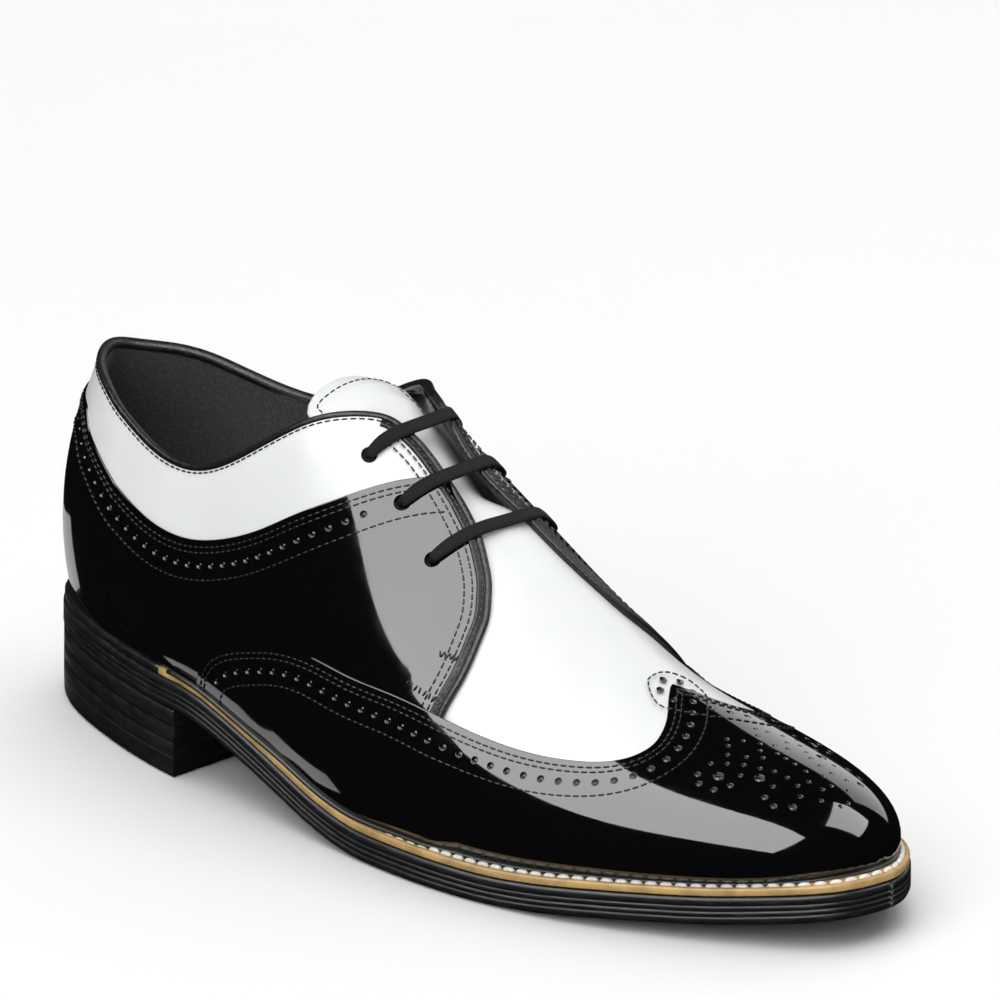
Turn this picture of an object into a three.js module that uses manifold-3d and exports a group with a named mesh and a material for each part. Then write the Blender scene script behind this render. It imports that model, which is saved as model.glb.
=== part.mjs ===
// A two-tone wing-tip lace-up dress shoe, right foot, standing empty on its sole.
// Millimetres, +X to the toe, -Y to the outer side of the foot, +Z up.
// Every table runs from the back of the heel; the group moves the shoe so that the
// origin lies on the floor under the middle of the heel.
import * as THREE from 'three';
import { mergeVertices } from 'three/addons/utils/BufferGeometryUtils.js';
import Module from 'manifold-3d';

const wasm = await Module();
wasm.setup();

// Driving sizes of the whole shoe
const shoeLength = 303;
const ballWidth = 104;
const instepHeight = 96;
const seatGap = 0.3;

// Sole and heel
const heelHeight = 19.6;
const heelLength = 77.7;
const soleThickness = 8;
const toeSpring = 9;
const edgeGroove = 0.5;
const edgeBevel = 1.2;
const liftHeight = 6;
const weltThickness = 2.2;
const weltInset = 0.4;
const weltRunUnder = 2.6;
const weltStart = 70;
const toeLedge = 6.5;
const featherTrim = 1.5;

// Upper wall: how far each layer stands in or out from the last's own surface
const liningDepth = 1.3;
const quarterRise = 0.9;
const foxingRise = 1.5;
const capRise = 0.8;
const capRiseOverFoxing = 2.2;

// Insole, tongue and lace
const insoleThickness = 3;
const tongueThickness = 1.3;
const eyeletBore = 4.8;
const laceWidth = 3.6;
const laceThickness = 1.1;
const laceSlack = 1.3;
const hiddenSlack = 1.7;
const laceInBore = 2.3;
const laceAtMouth = 2.8;

// Counts of facets
const outlineSteps = 42;
const quarterColumns = 24;
const towardsFacing = 1.35;
const vampHeights = [0, 0.1, 0.22, 0.36, 0.5, 0.62, 0.74, 0.84, 0.93, 1];
const quarterHeights = [0, 0.1, 0.22, 0.38, 0.54, 0.66, 0.76, 0.84, 0.905, 0.93, 0.955, 1];

const halfBall = ballWidth / 2;
const column = (rows, name) => rows.map((row) => row[name]);
const table = (names, rows) => rows.map((row) => Object.fromEntries(names.map((name, i) => [name, row[i]])));
const mix = (a, b, t) => a + (b - a) * t;
const smooth = (a, b, x) => {
  const t = Math.min(1, Math.max(0, (x - a) / (b - a)));
  return t * t * (3 - 2 * t);
};

// A natural cubic spline through the points (xs, ys)
function spline(xs, ys) {
  const n = xs.length;
  const bend = new Array(n).fill(0);
  const work = new Array(n).fill(0);
  for (let i = 1; i < n - 1; i++) {
    const before = xs[i] - xs[i - 1];
    const after = xs[i + 1] - xs[i];
    const ratio = before / (before + after);
    const pivot = ratio * bend[i - 1] + 2;
    const turn = (ys[i + 1] - ys[i]) / after - (ys[i] - ys[i - 1]) / before;
    bend[i] = (ratio - 1) / pivot;
    work[i] = (6 * turn / (before + after) - ratio * work[i - 1]) / pivot;
  }
  bend[n - 1] = 0;
  for (let i = n - 2; i >= 0; i--) bend[i] = i === 0 ? 0 : bend[i] * bend[i + 1] + work[i];
  return (x) => {
    let i = 0;
    while (i < n - 2 && x > xs[i + 1]) i++;
    const h = xs[i + 1] - xs[i];
    const a = (xs[i + 1] - x) / h;
    const b = (x - xs[i]) / h;
    return a * ys[i] + b * ys[i + 1] + ((a ** 3 - a) * bend[i] + (b ** 3 - b) * bend[i + 1]) * h * h / 6;
  };
}

// Straight steps between the points (xs, ys)
function polyline(xs, ys) {
  return (x) => {
    if (x <= xs[0]) return ys[0];
    for (let i = 1; i < xs.length; i++) {
      if (x <= xs[i]) return mix(ys[i - 1], ys[i], (x - xs[i - 1]) / (xs[i] - xs[i - 1]));
    }
    return ys[ys.length - 1];
  };
}

// Sole outline: along in percent of the shoe's length, sides in percent of half the ball width
const soleRows = table(['along', 'outer', 'inner'], [
  [0, -7.7, 7.7],
  [1.3, 13, 31],
  [3.3, 24.6, 41.5],
  [6.6, 37.5, 52],
  [13.2, 54.6, 61.5],
  [19.8, 67.3, 65],
  [25.7, 75, 63.5],
  [33, 80.4, 59.2],
  [42.9, 88.5, 58.7],
  [49.5, 94, 63.5],
  [56.1, 98, 74],
  [62.7, 99, 86.5],
  [69.3, 95.2, 97],
  [75.9, 86.5, 101],
  [82.5, 72, 95.2],
  [89.1, 53.7, 81],
  [94.1, 37, 65.5],
  [97.4, 22.7, 48],
  [99.3, 6.5, 32.5],
  [100, -17.9, 17.9],
]);
const turnAt = (along) => Math.acos(1 - 2 * along / 100);
const soleTurns = column(soleRows, 'along').map(turnAt);
const outerSide = spline(soleTurns, column(soleRows, 'outer').map((w) => -w * halfBall / 100));
const innerSide = spline(soleTurns, column(soleRows, 'inner').map((w) => w * halfBall / 100));

// Height of the tread: over the heel block, down through the waist, flat, then the toe spring
const treadHeel = table(['along', 'share'], [
  [0, 1], [25.7, 1], [27.7, 0.985], [30, 0.91], [35, 0.68], [40, 0.44], [45.5, 0.17], [50, 0.03], [52.5, 0],
]);
const treadToe = table(['along', 'share'], [
  [52.5, 0], [68, 0], [72.5, 0.08], [78, 0.25], [88.4, 0.52], [100, 1],
]);
const heelRise = polyline(column(treadHeel, 'along'), column(treadHeel, 'share'));
const toeRise = polyline(column(treadToe, 'along'), column(treadToe, 'share'));
const smoothed = (rise, along) => [-2, -1, 0, 1, 2].reduce((sum, k) => sum + rise(along + k * 0.9), 0) / 5;
const treadHeight = (x) => {
  const along = 100 * x / shoeLength;
  const overHeel = along < 26.5 ? 1 : smoothed(heelRise, along);
  return heelHeight * overHeel + toeSpring * smoothed(toeRise, along);
};
const weltBase = (x) => treadHeight(x) + soleThickness + seatGap;
const featherHeight = (x) => weltBase(x) + weltThickness + seatGap;

// Sole outline as pairs: outer side from heel to toe, then the inner side back
function soleOutline(inset, firstTurn = 0, lastTurn = Math.PI, steps = outlineSteps) {
  const at = (turn, side) => [shoeLength * (1 - Math.cos(turn)) / 2, side(turn)];
  const place = (turn, side, sign) => {
    const step = 0.004;
    const a = at(Math.max(0, turn - step), side);
    const b = at(Math.min(Math.PI, turn + step), side);
    let along = [b[0] - a[0], b[1] - a[1]];
    if (turn <= step || turn >= Math.PI - step) along = [0, turn <= step ? sign : -sign];
    const length = Math.hypot(along[0], along[1]);
    const point = at(turn, side);
    return [point[0] + along[1] / length * sign * inset, point[1] - along[0] / length * sign * inset];
  };
  const outer = [];
  const inner = [];
  for (let i = 0; i <= steps; i++) {
    const turn = mix(firstTurn, lastTurn, i / steps);
    outer.push(place(turn, outerSide, -1));
    inner.push(place(turn, innerSide, 1));
  }
  return { outer, inner };
}

// A closed mesh from points and triangles
function solidGeometry(points, faces) {
  const geometry = new THREE.BufferGeometry();
  geometry.setAttribute('position', new THREE.Float32BufferAttribute(points.flat(), 3));
  geometry.setIndex(faces.flat());
  return geometry;
}

function toManifold(geometry) {
  const plain = geometry.clone();
  plain.deleteAttribute('normal');
  plain.deleteAttribute('uv');
  const merged = mergeVertices(plain, 1e-4);
  const index = merged.getIndex().array;
  const triVerts = [];
  for (let i = 0; i < index.length; i += 3) {
    const [a, b, c] = [index[i], index[i + 1], index[i + 2]];
    if (a !== b && b !== c && c !== a) triVerts.push(a, b, c);
  }
  const vertProperties = new Float32Array(merged.getAttribute('position').array);
  const mesh = new wasm.Mesh({ numProp: 3, vertProperties, triVerts: new Uint32Array(triVerts) });
  const solid = new wasm.Manifold(mesh);
  return solid.volume() < 0 ? toManifold(flipped(geometry)) : solid;
}

function flipped(geometry) {
  const turned = geometry.clone();
  const index = Array.from(turned.getIndex().array);
  for (let i = 0; i < index.length; i += 3) [index[i], index[i + 1]] = [index[i + 1], index[i]];
  turned.setIndex(index);
  return turned;
}

function fromManifold(solid) {
  const mesh = solid.getMesh();
  const geometry = new THREE.BufferGeometry();
  geometry.setAttribute('position', new THREE.Float32BufferAttribute(mesh.vertProperties, 3));
  geometry.setIndex(Array.from(mesh.triVerts));
  return geometry;
}

// Rings stacked from bottom to top; each ring holds paired outer and inner points
function stackedSolid(rings) {
  const steps = rings[0].outer.length;
  const size = steps * 2;
  const points = [];
  for (const ring of rings) {
    for (const p of ring.outer) points.push(p);
    for (const p of ring.inner) points.push(p);
  }
  const outer = (level, i) => level * size + i;
  const inner = (level, i) => level * size + steps + i;
  const loop = [];
  for (let i = 0; i < steps; i++) loop.push(i);
  for (let i = steps - 1; i >= 0; i--) loop.push(steps + i);
  const faces = [];
  for (let level = 0; level + 1 < rings.length; level++) {
    for (let k = 0; k < loop.length; k++) {
      const a = level * size + loop[k];
      const b = level * size + loop[(k + 1) % loop.length];
      faces.push([a, b, b + size], [a, b + size, a + size]);
    }
  }
  const top = rings.length - 1;
  for (let i = 0; i + 1 < steps; i++) {
    faces.push([outer(0, i), inner(0, i), inner(0, i + 1)]);
    faces.push([outer(0, i), inner(0, i + 1), outer(0, i + 1)]);
    faces.push([outer(top, i), outer(top, i + 1), inner(top, i + 1)]);
    faces.push([outer(top, i), inner(top, i + 1), inner(top, i)]);
  }
  return toManifold(solidGeometry(points, faces));
}

const lifted = (outline, height) => ({
  outer: outline.outer.map(([x, y]) => [x, y, height(x)]),
  inner: outline.inner.map(([x, y]) => [x, y, height(x)]),
});

// The upper. Sections across the last: along in percent of the length, sides in percent of
// half the ball width, heights in percent of the instep height above the feather line.
// feather: the lower edge; top: the topline, then the ridge; belly, side, shoulder: how far
// the section swells outside its feather edge; lean: how flat it arrives at the top.
const sectionNames = [
  'along', 'outerTop', 'outerHeight', 'outerFeather', 'outerBelly', 'outerSide', 'outerShoulder', 'outerLean',
  'innerTop', 'innerHeight', 'innerFeather', 'innerBelly', 'innerSide', 'innerShoulder', 'innerLean',
  'leanHeight',
];
const sections = table(sectionNames, [
  [13.9, -42, 65, -51, 5, 3, -7, 6, 41, 67.6, 57, 5, 3, -7, 6, 80],
  [19.8, -50, 59.3, -62, 6, 2, -10, 7, 50, 63.4, 61, 6, 2, -8, 7, 80],
  [25.7, -54, 59.8, -70, 7, 2, -12, 8, 54, 64.5, 59, 8, 3, -6, 8, 80],
  [31.4, -55, 72, -74, 8, 2, -12, 10, 54, 75.7, 55, 10, 4, -5, 10, 82],
  [36.3, -50, 87.5, -77, 9, 2, -11, 13, 46, 89.7, 53, 12, 5, -6, 13, 86],
  [40.3, -39, 97.8, -79, 10, 2, -12, 19, 25, 97.8, 53, 12, 6, -13.5, 9, 92],
  [44.2, -18, 100, -82, 11, 2, -17, 27, 10, 100, 54, 12, 6, -22, 11.5, 98],
  [49.5, -4, 92, -86, 12, 3, -19, 31, -2, 92, 58, 13, 6, -19.6, 38.5, 100],
  [55.4, -1, 80.7, -88, 13, 6, -17, 33, -1, 80.7, 66, 13, 5, -21.2, 38.5, 100],
  [62.7, 2, 65, -89, 15, 11, -12, 35, 2, 65, 79, 12, 4, -27, 30.8, 100],
  [71, 4, 50, -83, 15, 13, -5, 37, 4, 50, 88, 12, 4, -32.7, 21.2, 100],
  [79.2, 8, 37.8, -70, 14, 14, 0, 36, 8, 37.8, 88, 11, 5, -21.2, 23.1, 100],
  [86.5, 12, 30, -52, 13, 14, 3, 31, 12, 30, 78, 10, 6, -12, 23, 100],
  [92.4, 14, 22.5, -33, 12, 13, 4, 25, 14, 22.5, 61, 9, 6, -7, 19, 100],
]);
const bellyHeight = 0.2;
const sideHeight = 0.47;
const shoulderHeight = 0.74;
const toeCentre = 17.3;

// Profile of the heel's back: in, the distance from the outsole's back edge in percent of the
// length, and up, the height in percent of the back height
const backHeight = 70.6;
const backProfile = table(['in', 'up'], [
  [1.15, 0], [-0.15, 16], [-0.65, 40], [1.15, 66], [3.6, 86], [4.95, 100],
]);
const heelMiddle = 1;
// How soon the topline's slope fades on its way round the heel
const leadFade = 4;

const fanCentre = sections[0].along / 100 * shoeLength;
const upperTip = shoeLength - toeLedge;
const stationAt = (x) => {
  const share = (x - fanCentre) / (upperTip - fanCentre);
  return 2 / Math.PI * Math.asin(Math.min(1, Math.max(-1, share)));
};
const xAtStation = (q) => fanCentre + (upperTip - fanCentre) * Math.sin(Math.PI * q / 2);

function sideRails(side, sign) {
  const rows = sections.map((row) => {
    const x = row.along / 100 * shoeLength;
    const low = featherHeight(x);
    const rise = row[side + 'Height'] / 100 * instepHeight;
    const across = (name) => row[side + name] / 100 * halfBall;
    const feather = across('Feather');
    return [
      [feather, low],
      [feather + sign * across('Belly'), low + bellyHeight * rise],
      [feather + sign * across('Side'), low + sideHeight * rise],
      [feather + sign * across('Shoulder'), low + shoulderHeight * rise],
      [across('Top') + sign * across('Lean'), low + row.leanHeight / 100 * rise],
      [across('Top'), low + rise],
    ];
  });
  const stations = [...sections.map((row) => stationAt(row.along / 100 * shoeLength)), 1];
  const tip = [toeCentre / 100 * halfBall, featherHeight(upperTip)];
  const rail = (k, axis) => spline(stations, [...rows.map((row) => row[k][axis]), tip[axis]]);
  return [0, 1, 2, 3, 4, 5].map((k) => [rail(k, 0), rail(k, 1)]);
}
const rails = { outer: sideRails('outer', -1), inner: sideRails('inner', 1) };

const choose5 = [1, 5, 10, 10, 5, 1];
const weight5 = (v, k) => choose5[k] * v ** k * (1 - v) ** (5 - k);
const blend5 = (v, values) => values.reduce((sum, value, k) => sum + weight5(v, k) * value, 0);
const sideAt = (side, q, v) => [0, 1].map((axis) => blend5(v, rails[side].map((rail) => rail[axis](q))));

// The last's surface. u runs from -1 at the back of the heel through 0 at the fan's centre
// to 1 at the toe tip; v from 0 at the feather line to 1 at the topline or ridge.
function lastPoint(side, u, v) {
  if (u >= 0) {
    const [y, z] = sideAt(side, Math.min(1, u), v);
    return new THREE.Vector3(xAtStation(Math.min(1, u)), y, z);
  }
  const step = 1e-4;
  const [y0, z0] = sideAt(side, 0, v);
  const [ySlope, zSlope] = sideAt(side, step, v).map((value, axis) => (
    (value - [y0, z0][axis]) / (xAtStation(step) - fanCentre)
  ));
  const turn = Math.min(1, -u) * Math.PI / 2;
  const backX = blend5(v, column(backProfile, 'in')) / 100 * shoeLength;
  const backZ = featherHeight(0) + blend5(v, column(backProfile, 'up')) / 100 * backHeight;
  const x = fanCentre - (fanCentre - backX) * Math.sin(turn);
  const y = heelMiddle + (y0 - heelMiddle + ySlope * (x - fanCentre)) * Math.cos(turn);
  const lead = zSlope * (x - fanCentre) * Math.cos(turn) ** leadFade;
  return new THREE.Vector3(x, y, z0 * Math.cos(turn) ** 2 + backZ * Math.sin(turn) ** 2 + lead);
}

// Outward normal; level at the feather line so that every layer stands on the welt
function lastNormal(side, u, v) {
  const step = 1e-3;
  if (u > 1 - step) return new THREE.Vector3(1, 0, 0);
  const alongU = lastPoint(side, Math.min(1, u + step), v).sub(lastPoint(side, Math.max(-1, u - step), v));
  const alongV = lastPoint(side, u, Math.min(1, v + step)).sub(lastPoint(side, u, Math.max(0, v - step)));
  const normal = alongU.cross(alongV);
  if (side === 'inner') normal.negate();
  normal.normalize();
  normal.z *= Math.min(1, v / 0.12);
  return normal.normalize();
}
const onLast = (side, u, v, level) => lastPoint(side, u, v).addScaledVector(lastNormal(side, u, v), level);

// A leather layer: a grid of [side, u, v] spots, thickened from inside to outside
function layer(grid, inside, outside) {
  const rows = grid.length;
  const columns = grid[0].length;
  const points = [];
  for (const level of [inside, outside]) {
    for (const row of grid) {
      for (const [side, u, v] of row) {
        const point = onLast(side, u, v, level(u, v));
        points.push([point.x, point.y, v === 0 ? point.z - featherTrim : point.z]);
      }
    }
  }
  const spot = (level, i, j) => level * rows * columns + i * columns + j;
  const faces = [];
  const quad = (a, b, c, d) => faces.push([a, b, c], [a, c, d]);
  for (let i = 0; i + 1 < rows; i++) {
    for (let j = 0; j + 1 < columns; j++) {
      quad(spot(1, i, j), spot(1, i, j + 1), spot(1, i + 1, j + 1), spot(1, i + 1, j));
      quad(spot(0, i, j), spot(0, i + 1, j), spot(0, i + 1, j + 1), spot(0, i, j + 1));
    }
  }
  for (let j = 0; j + 1 < columns; j++) {
    quad(spot(0, 0, j), spot(0, 0, j + 1), spot(1, 0, j + 1), spot(1, 0, j));
    quad(spot(1, rows - 1, j), spot(1, rows - 1, j + 1), spot(0, rows - 1, j + 1), spot(0, rows - 1, j));
  }
  for (let i = 0; i + 1 < rows; i++) {
    quad(spot(1, i, 0), spot(1, i + 1, 0), spot(0, i + 1, 0), spot(0, i, 0));
    const end = columns - 1;
    quad(spot(0, i, end), spot(0, i + 1, end), spot(1, i + 1, end), spot(1, i, end));
  }
  return toManifold(solidGeometry(points, faces));
}

// Panel edges on the last: v against along, in percent of the length
const facing = {
  outer: table(['v', 'along'], [
    [0, 61], [0.45, 60.8], [0.57, 61.2], [0.63, 61], [0.735, 60.2], [0.81, 58.3], [0.87, 55.4],
    [0.905, 52], [0.93, 48.7], [0.955, 45.2], [1, 42.6],
  ]),
  inner: table(['v', 'along'], [
    [0, 65.4], [0.5, 65.8], [0.63, 65.9], [0.73, 65.6], [0.8, 64.9], [0.84, 63.7], [0.87, 62.5],
    [0.905, 60.8], [0.93, 58.8], [0.948, 55.5], [0.96, 51.5], [0.975, 46.5], [1, 41.8],
  ]),
};
const vampBack = table(['v', 'along'], [[0, 40], [0.45, 43], [0.6, 52], [0.68, 56], [1, 55.5]]);
const capBack = table(['v', 'along'], [
  [0, 29], [0.1, 29.7], [0.17, 30.9], [0.21, 32.2], [0.253, 34.9], [0.275, 37.6], [0.31, 43], [0.352, 48.1],
  [0.393, 53.3], [0.432, 58.5], [0.485, 65.4], [0.517, 69.6], [0.562, 73.2], [0.618, 76.5], [0.682, 78.3],
  [0.753, 79], [0.8, 78.8], [0.855, 78.1], [0.9, 77.2], [0.94, 76], [1, 74.6],
]);
const foxingTop = table(['along', 'v'], [
  [6, 0.78], [8, 0.7], [11.5, 0.655], [14.8, 0.61], [36, 0.61], [40.3, 0.63], [42.1, 0.655], [44.3, 0.7],
  [46.3, 0.76], [48.6, 0.855], [49.6, 0.915], [70, 0.915],
]);
const edgeFrom = (rows, from, to) => polyline(column(rows, from), column(rows, to));
const stationOf = (along) => stationAt(along / 100 * shoeLength);

const spread = (from, to, steps) => Array.from({ length: steps + 1 }, (_, i) => mix(from, to, i / steps));

// Rows from the outer feather over the ridge to the inner feather, columns from an edge to the
// toe tip
function forepartGrid(edge, heights, columns) {
  const along = edgeFrom(edge, 'v', 'along');
  const row = (side, v) => spread(stationOf(along(v)), 1, columns).map((u) => [side, u, v]);
  const inward = heights.slice(0, -1).reverse();
  return [...heights.map((v) => row('outer', v)), ...inward.map((v) => row('inner', v))];
}

// Rows from feather to the top edge, columns from the outer facing round the heel to the inner
// facing, closer together near the facings; reach adds a column past the facings
function quarterGrid(topEdge, heights, reach = 0) {
  const grid = [];
  const back = spread(0, 1, quarterColumns).map((t) => t ** towardsFacing);
  if (reach > 0) back.unshift(-reach);
  for (const share of heights) {
    const spots = [];
    for (const side of ['outer', 'inner']) {
      const front = edgeFrom(facing[side], 'v', 'along');
      const half = back.map((t) => {
        let v = share;
        let u = 0;
        for (let pass = 0; pass < 4; pass++) {
          u = mix(stationOf(front(v)), -1, t);
          v = share * topEdge(side, u);
        }
        return [side, u, v];
      });
      spots.push(...(side === 'outer' ? half : half.reverse().slice(1)));
    }
    grid.push(spots);
  }
  return grid;
}

const foxingShare = (side, u) => {
  const x = lastPoint(side, u, 0.7).x;
  return edgeFrom(foxingTop, 'along', 'v')(100 * x / shoeLength);
};

// The cap climbs over the foxing behind the facing and lies on the bare vamp before it
const capLevel = (u, v) => {
  const along = 100 * xAtStation(Math.max(0, u)) / shoeLength;
  return mix(capRiseOverFoxing, capRise, smooth(59, 64, along));
};

// What the welt takes up: everything below the feather line, out past the sole's edge
function seatCut() {
  const wide = soleOutline(-toeLedge);
  return stackedSolid([lifted(wide, () => -toeLedge), lifted(wide, featherHeight)]);
}

const foxingHeights = [0, 0.2, 0.42, 0.65, 0.84, 1];
const capHeights = [
  0, 0.1, 0.17, 0.21, 0.253, 0.31, 0.352, 0.41, 0.47, 0.517, 0.562, 0.618, 0.682, 0.753, 0.82, 0.88, 0.94, 1,
];

function upperSolid() {
  const vamp = layer(forepartGrid(vampBack, vampHeights, 14), () => -liningDepth, () => 0);
  const quarters = layer(quarterGrid(() => 1, quarterHeights), () => -liningDepth, () => quarterRise);
  const foxing = layer(quarterGrid(foxingShare, foxingHeights), () => -liningDepth / 2, () => foxingRise);
  const cap = layer(forepartGrid(capBack, capHeights, 14), () => -liningDepth / 2, capLevel);
  // The layers are bonded: the largest shell is the outside, and pockets between layers are filled
  let upper = vamp.add(quarters).add(foxing).add(cap).subtract(seatCut());
  for (const side of ['outer', 'inner']) {
    for (const eyelet of eyelets[side]) upper = upper.subtract(eyeletCut(eyelet));
  }
  const shells = upper.decompose().sort((a, b) => b.volume() - a.volume());
  return shells[0];
}

// Eyelets: three pairs beside the facings, counted from the lowest; edgeAlong and edge say where
// the lace leaves the facing's edge on its straight way across
const eyeletColumns = ['along', 'v', 'edgeAlong', 'edge'];
const eyeletRows = {
  outer: table(eyeletColumns, [
    [53.2, 0.73, 55, 0.9],
    [48.4, 0.77, 49.9, 0.925],
    [44.3, 0.82, 45.5, 0.955],
  ]),
  inner: table(eyeletColumns, [
    [54.2, 0.735, 55.6, 0.955],
    [49, 0.775, 50.1, 0.968],
    [44.6, 0.825, 45.6, 0.982],
  ]),
};
function eyeletSpots(side) {
  return eyeletRows[side].map((row) => {
    const u = stationOf(row.along);
    return { centre: lastPoint(side, u, row.v), normal: lastNormal(side, u, row.v) };
  });
}
const eyelets = { outer: eyeletSpots('outer'), inner: eyeletSpots('inner') };

function eyeletCut({ centre, normal }) {
  const cylinder = new THREE.CylinderGeometry(eyeletBore / 2, eyeletBore / 2, 9, 12);
  cylinder.applyQuaternion(new THREE.Quaternion().setFromUnitVectors(new THREE.Vector3(0, 1, 0), normal));
  cylinder.translate(centre.x, centre.y, centre.z);
  return toManifold(cylinder);
}

// The tongue: ridge height over the feather line and fall at the edges in percent of the instep
// height, half width in percent of half the ball width
const tongueReach = 2;
const pastFacing = 0.004;
const tongueCentre = -7.7;
const tongueRows = table(['along', 'height', 'half', 'fall'], [
  [35.6, 94.8, 27, 3.4],
  [36.2, 95.4, 33, 5.2],
  [37.6, 96.7, 35, 6.6],
  [40.3, 97.6, 33, 8.6],
  [42.2, 96.2, 31, 8.6],
  [44.2, 94.4, 30, 8.6],
  [46.9, 90.8, 30, 11],
  [49.5, 86.4, 30, 12.4],
  [52.1, 81.9, 30, 11.8],
  [54.5, 77.3, 29, 11],
  [57.4, 70.7, 26, 7.5],
]);
function tongueSolid() {
  const across = spread(-1, 1, 12);
  const points = [];
  for (const drop of [tongueThickness, 0]) {
    for (const row of tongueRows) {
      const x = row.along / 100 * shoeLength;
      for (const s of across) {
        const y = (tongueCentre + s * row.half) / 100 * halfBall;
        const fall = row.fall / 100 * instepHeight * s * s;
        points.push([x, y, featherHeight(x) + row.height / 100 * instepHeight - fall - drop]);
      }
    }
  }
  const size = tongueRows.length * across.length;
  const spot = (level, i, j) => level * size + i * across.length + j;
  const faces = [];
  const quad = (a, b, c, d) => faces.push([a, b, c], [a, c, d]);
  const lastRow = tongueRows.length - 1;
  const lastColumn = across.length - 1;
  for (let i = 0; i < lastRow; i++) {
    for (let j = 0; j < lastColumn; j++) {
      quad(spot(1, i, j), spot(1, i + 1, j), spot(1, i + 1, j + 1), spot(1, i, j + 1));
      quad(spot(0, i, j), spot(0, i, j + 1), spot(0, i + 1, j + 1), spot(0, i + 1, j));
    }
    const next = i + 1;
    quad(spot(0, i, 0), spot(0, next, 0), spot(1, next, 0), spot(1, i, 0));
    const end = lastColumn;
    quad(spot(1, i, end), spot(1, next, end), spot(0, next, end), spot(0, i, end));
  }
  for (let j = 0; j < lastColumn; j++) {
    quad(spot(1, 0, j), spot(1, 0, j + 1), spot(0, 0, j + 1), spot(0, 0, j));
    quad(spot(0, lastRow, j), spot(0, lastRow, j + 1), spot(1, lastRow, j + 1), spot(1, lastRow, j));
  }
  const whole = toManifold(solidGeometry(points, faces));
  const grid = quarterGrid(() => 1 + pastFacing, quarterHeights, pastFacing);
  const flaps = layer(grid, () => -liningDepth - seatGap, () => tongueReach);
  return whole.subtract(flaps).decompose().sort((a, b) => b.volume() - a.volume())[0];
}

// Outsole: a slab that follows the tread, its edge bevelled, grooved and rounded on top
function outsoleSolid() {
  const edge = table(['inset', 'share'], [
    [edgeBevel, 0], [0, 0.14], [0, 0.42], [edgeGroove, 0.47],
    [edgeGroove, 0.53], [0, 0.58], [0, 0.92], [edgeGroove, 1],
  ]);
  const level = (share) => (x) => treadHeight(x) + share * soleThickness;
  return stackedSolid(edge.map(({ inset, share }) => lifted(soleOutline(inset), level(share))));
}

// Half height of the seam's groove, how far the block stands in from the sole, points a side
const liftSeam = 0.4;
const heelInset = 0.2;
const heelSteps = 20;

// Heel block: the sole's outline cut straight across at the breast, with its top lift's seam
function heelSolid() {
  const breast = Math.acos(1 - 2 * heelLength / shoeLength);
  const top = heelHeight - seatGap;
  const rings = [
    [edgeBevel / 2, 0], [0, edgeBevel / 2], [0, liftHeight - liftSeam], [edgeGroove / 2, liftHeight],
    [0, liftHeight + liftSeam], [0, top],
  ];
  return stackedSolid(rings.map(([inset, height]) => {
    const outline = soleOutline(inset + heelInset, 0, breast, heelSteps);
    const square = (points) => [...points.slice(0, -1), [heelLength, points[points.length - 1][1]]];
    return lifted({ outer: square(outline.outer), inner: square(outline.inner) }, () => height);
  }));
}

// A flat strip round the sole's edge, from one spot on the outline to another
function stripSolid(stations, underUpper) {
  const points = [];
  const lip = soleOutline(weltInset);
  const inside = soleOutline(underUpper);
  for (const [side, i] of stations) {
    const [ox, oy] = lip[side][i];
    const [ix, iy] = inside[side][i];
    for (const [x, y, rise] of [[ox, oy, 0], [ox, oy, weltThickness], [ix, iy, weltThickness], [ix, iy, 0]]) {
      points.push([x, y, weltBase(x) + rise]);
    }
  }
  const faces = [];
  for (let i = 0; i + 1 < stations.length; i++) {
    for (let k = 0; k < 4; k++) {
      const a = i * 4 + k;
      const b = i * 4 + (k + 1) % 4;
      faces.push([a, b, b + 4], [a, b + 4, a + 4]);
    }
  }
  const last = (stations.length - 1) * 4;
  faces.push([0, 3, 2], [0, 2, 1], [last, last + 1, last + 2], [last, last + 2, last + 3]);
  return toManifold(solidGeometry(points, faces));
}
const weltEnd = Math.round(outlineSteps * Math.acos(1 - 2 * weltStart / shoeLength) / Math.PI);
const sideSpots = (side, from, to) => (
  spread(from, to, Math.abs(to - from)).map((i) => [side, Math.round(i)])
);
const roundToe = sideSpots('outer', weltEnd, outlineSteps);
const weltSpots = [...roundToe, ...sideSpots('inner', outlineSteps - 1, weltEnd)];
const randSpots = [...sideSpots('outer', weltEnd, 0), ...sideSpots('inner', 1, weltEnd)];

// Insole: a board inside the upper's wall, resting on the welt
function insoleSolid() {
  const clear = liningDepth + 2 * seatGap;
  const stations = [...spread(-1, 0, 14), ...spread(0, 1, 34).slice(1)];
  const ring = (rise) => {
    const edge = (side) => stations.map((u) => {
      const point = lastPoint(side, u, 0).addScaledVector(lastNormal(side, u, 0), -clear);
      return [point.x, point.y, featherHeight(point.x) + rise];
    });
    return { outer: edge('outer'), inner: edge('inner') };
  };
  return stackedSolid([ring(seatGap), ring(insoleThickness)]);
}

// Lace: one flat braid. It crosses in three straight bars, dives through the eyelets and runs
// on under the facings; both ends stop hidden at the top eyelets.
const laceOver = quarterRise + laceSlack + laceThickness / 2;
const laceUnder = -(liningDepth + hiddenSlack + laceThickness / 2);
const upRoute = table(['along', 'v'], [[46.2, 0.755]]);
const tailRoute = table(['along', 'v'], [[44.6, 0.74], [47.3, 0.7], [50, 0.68], [52, 0.69]]);

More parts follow.
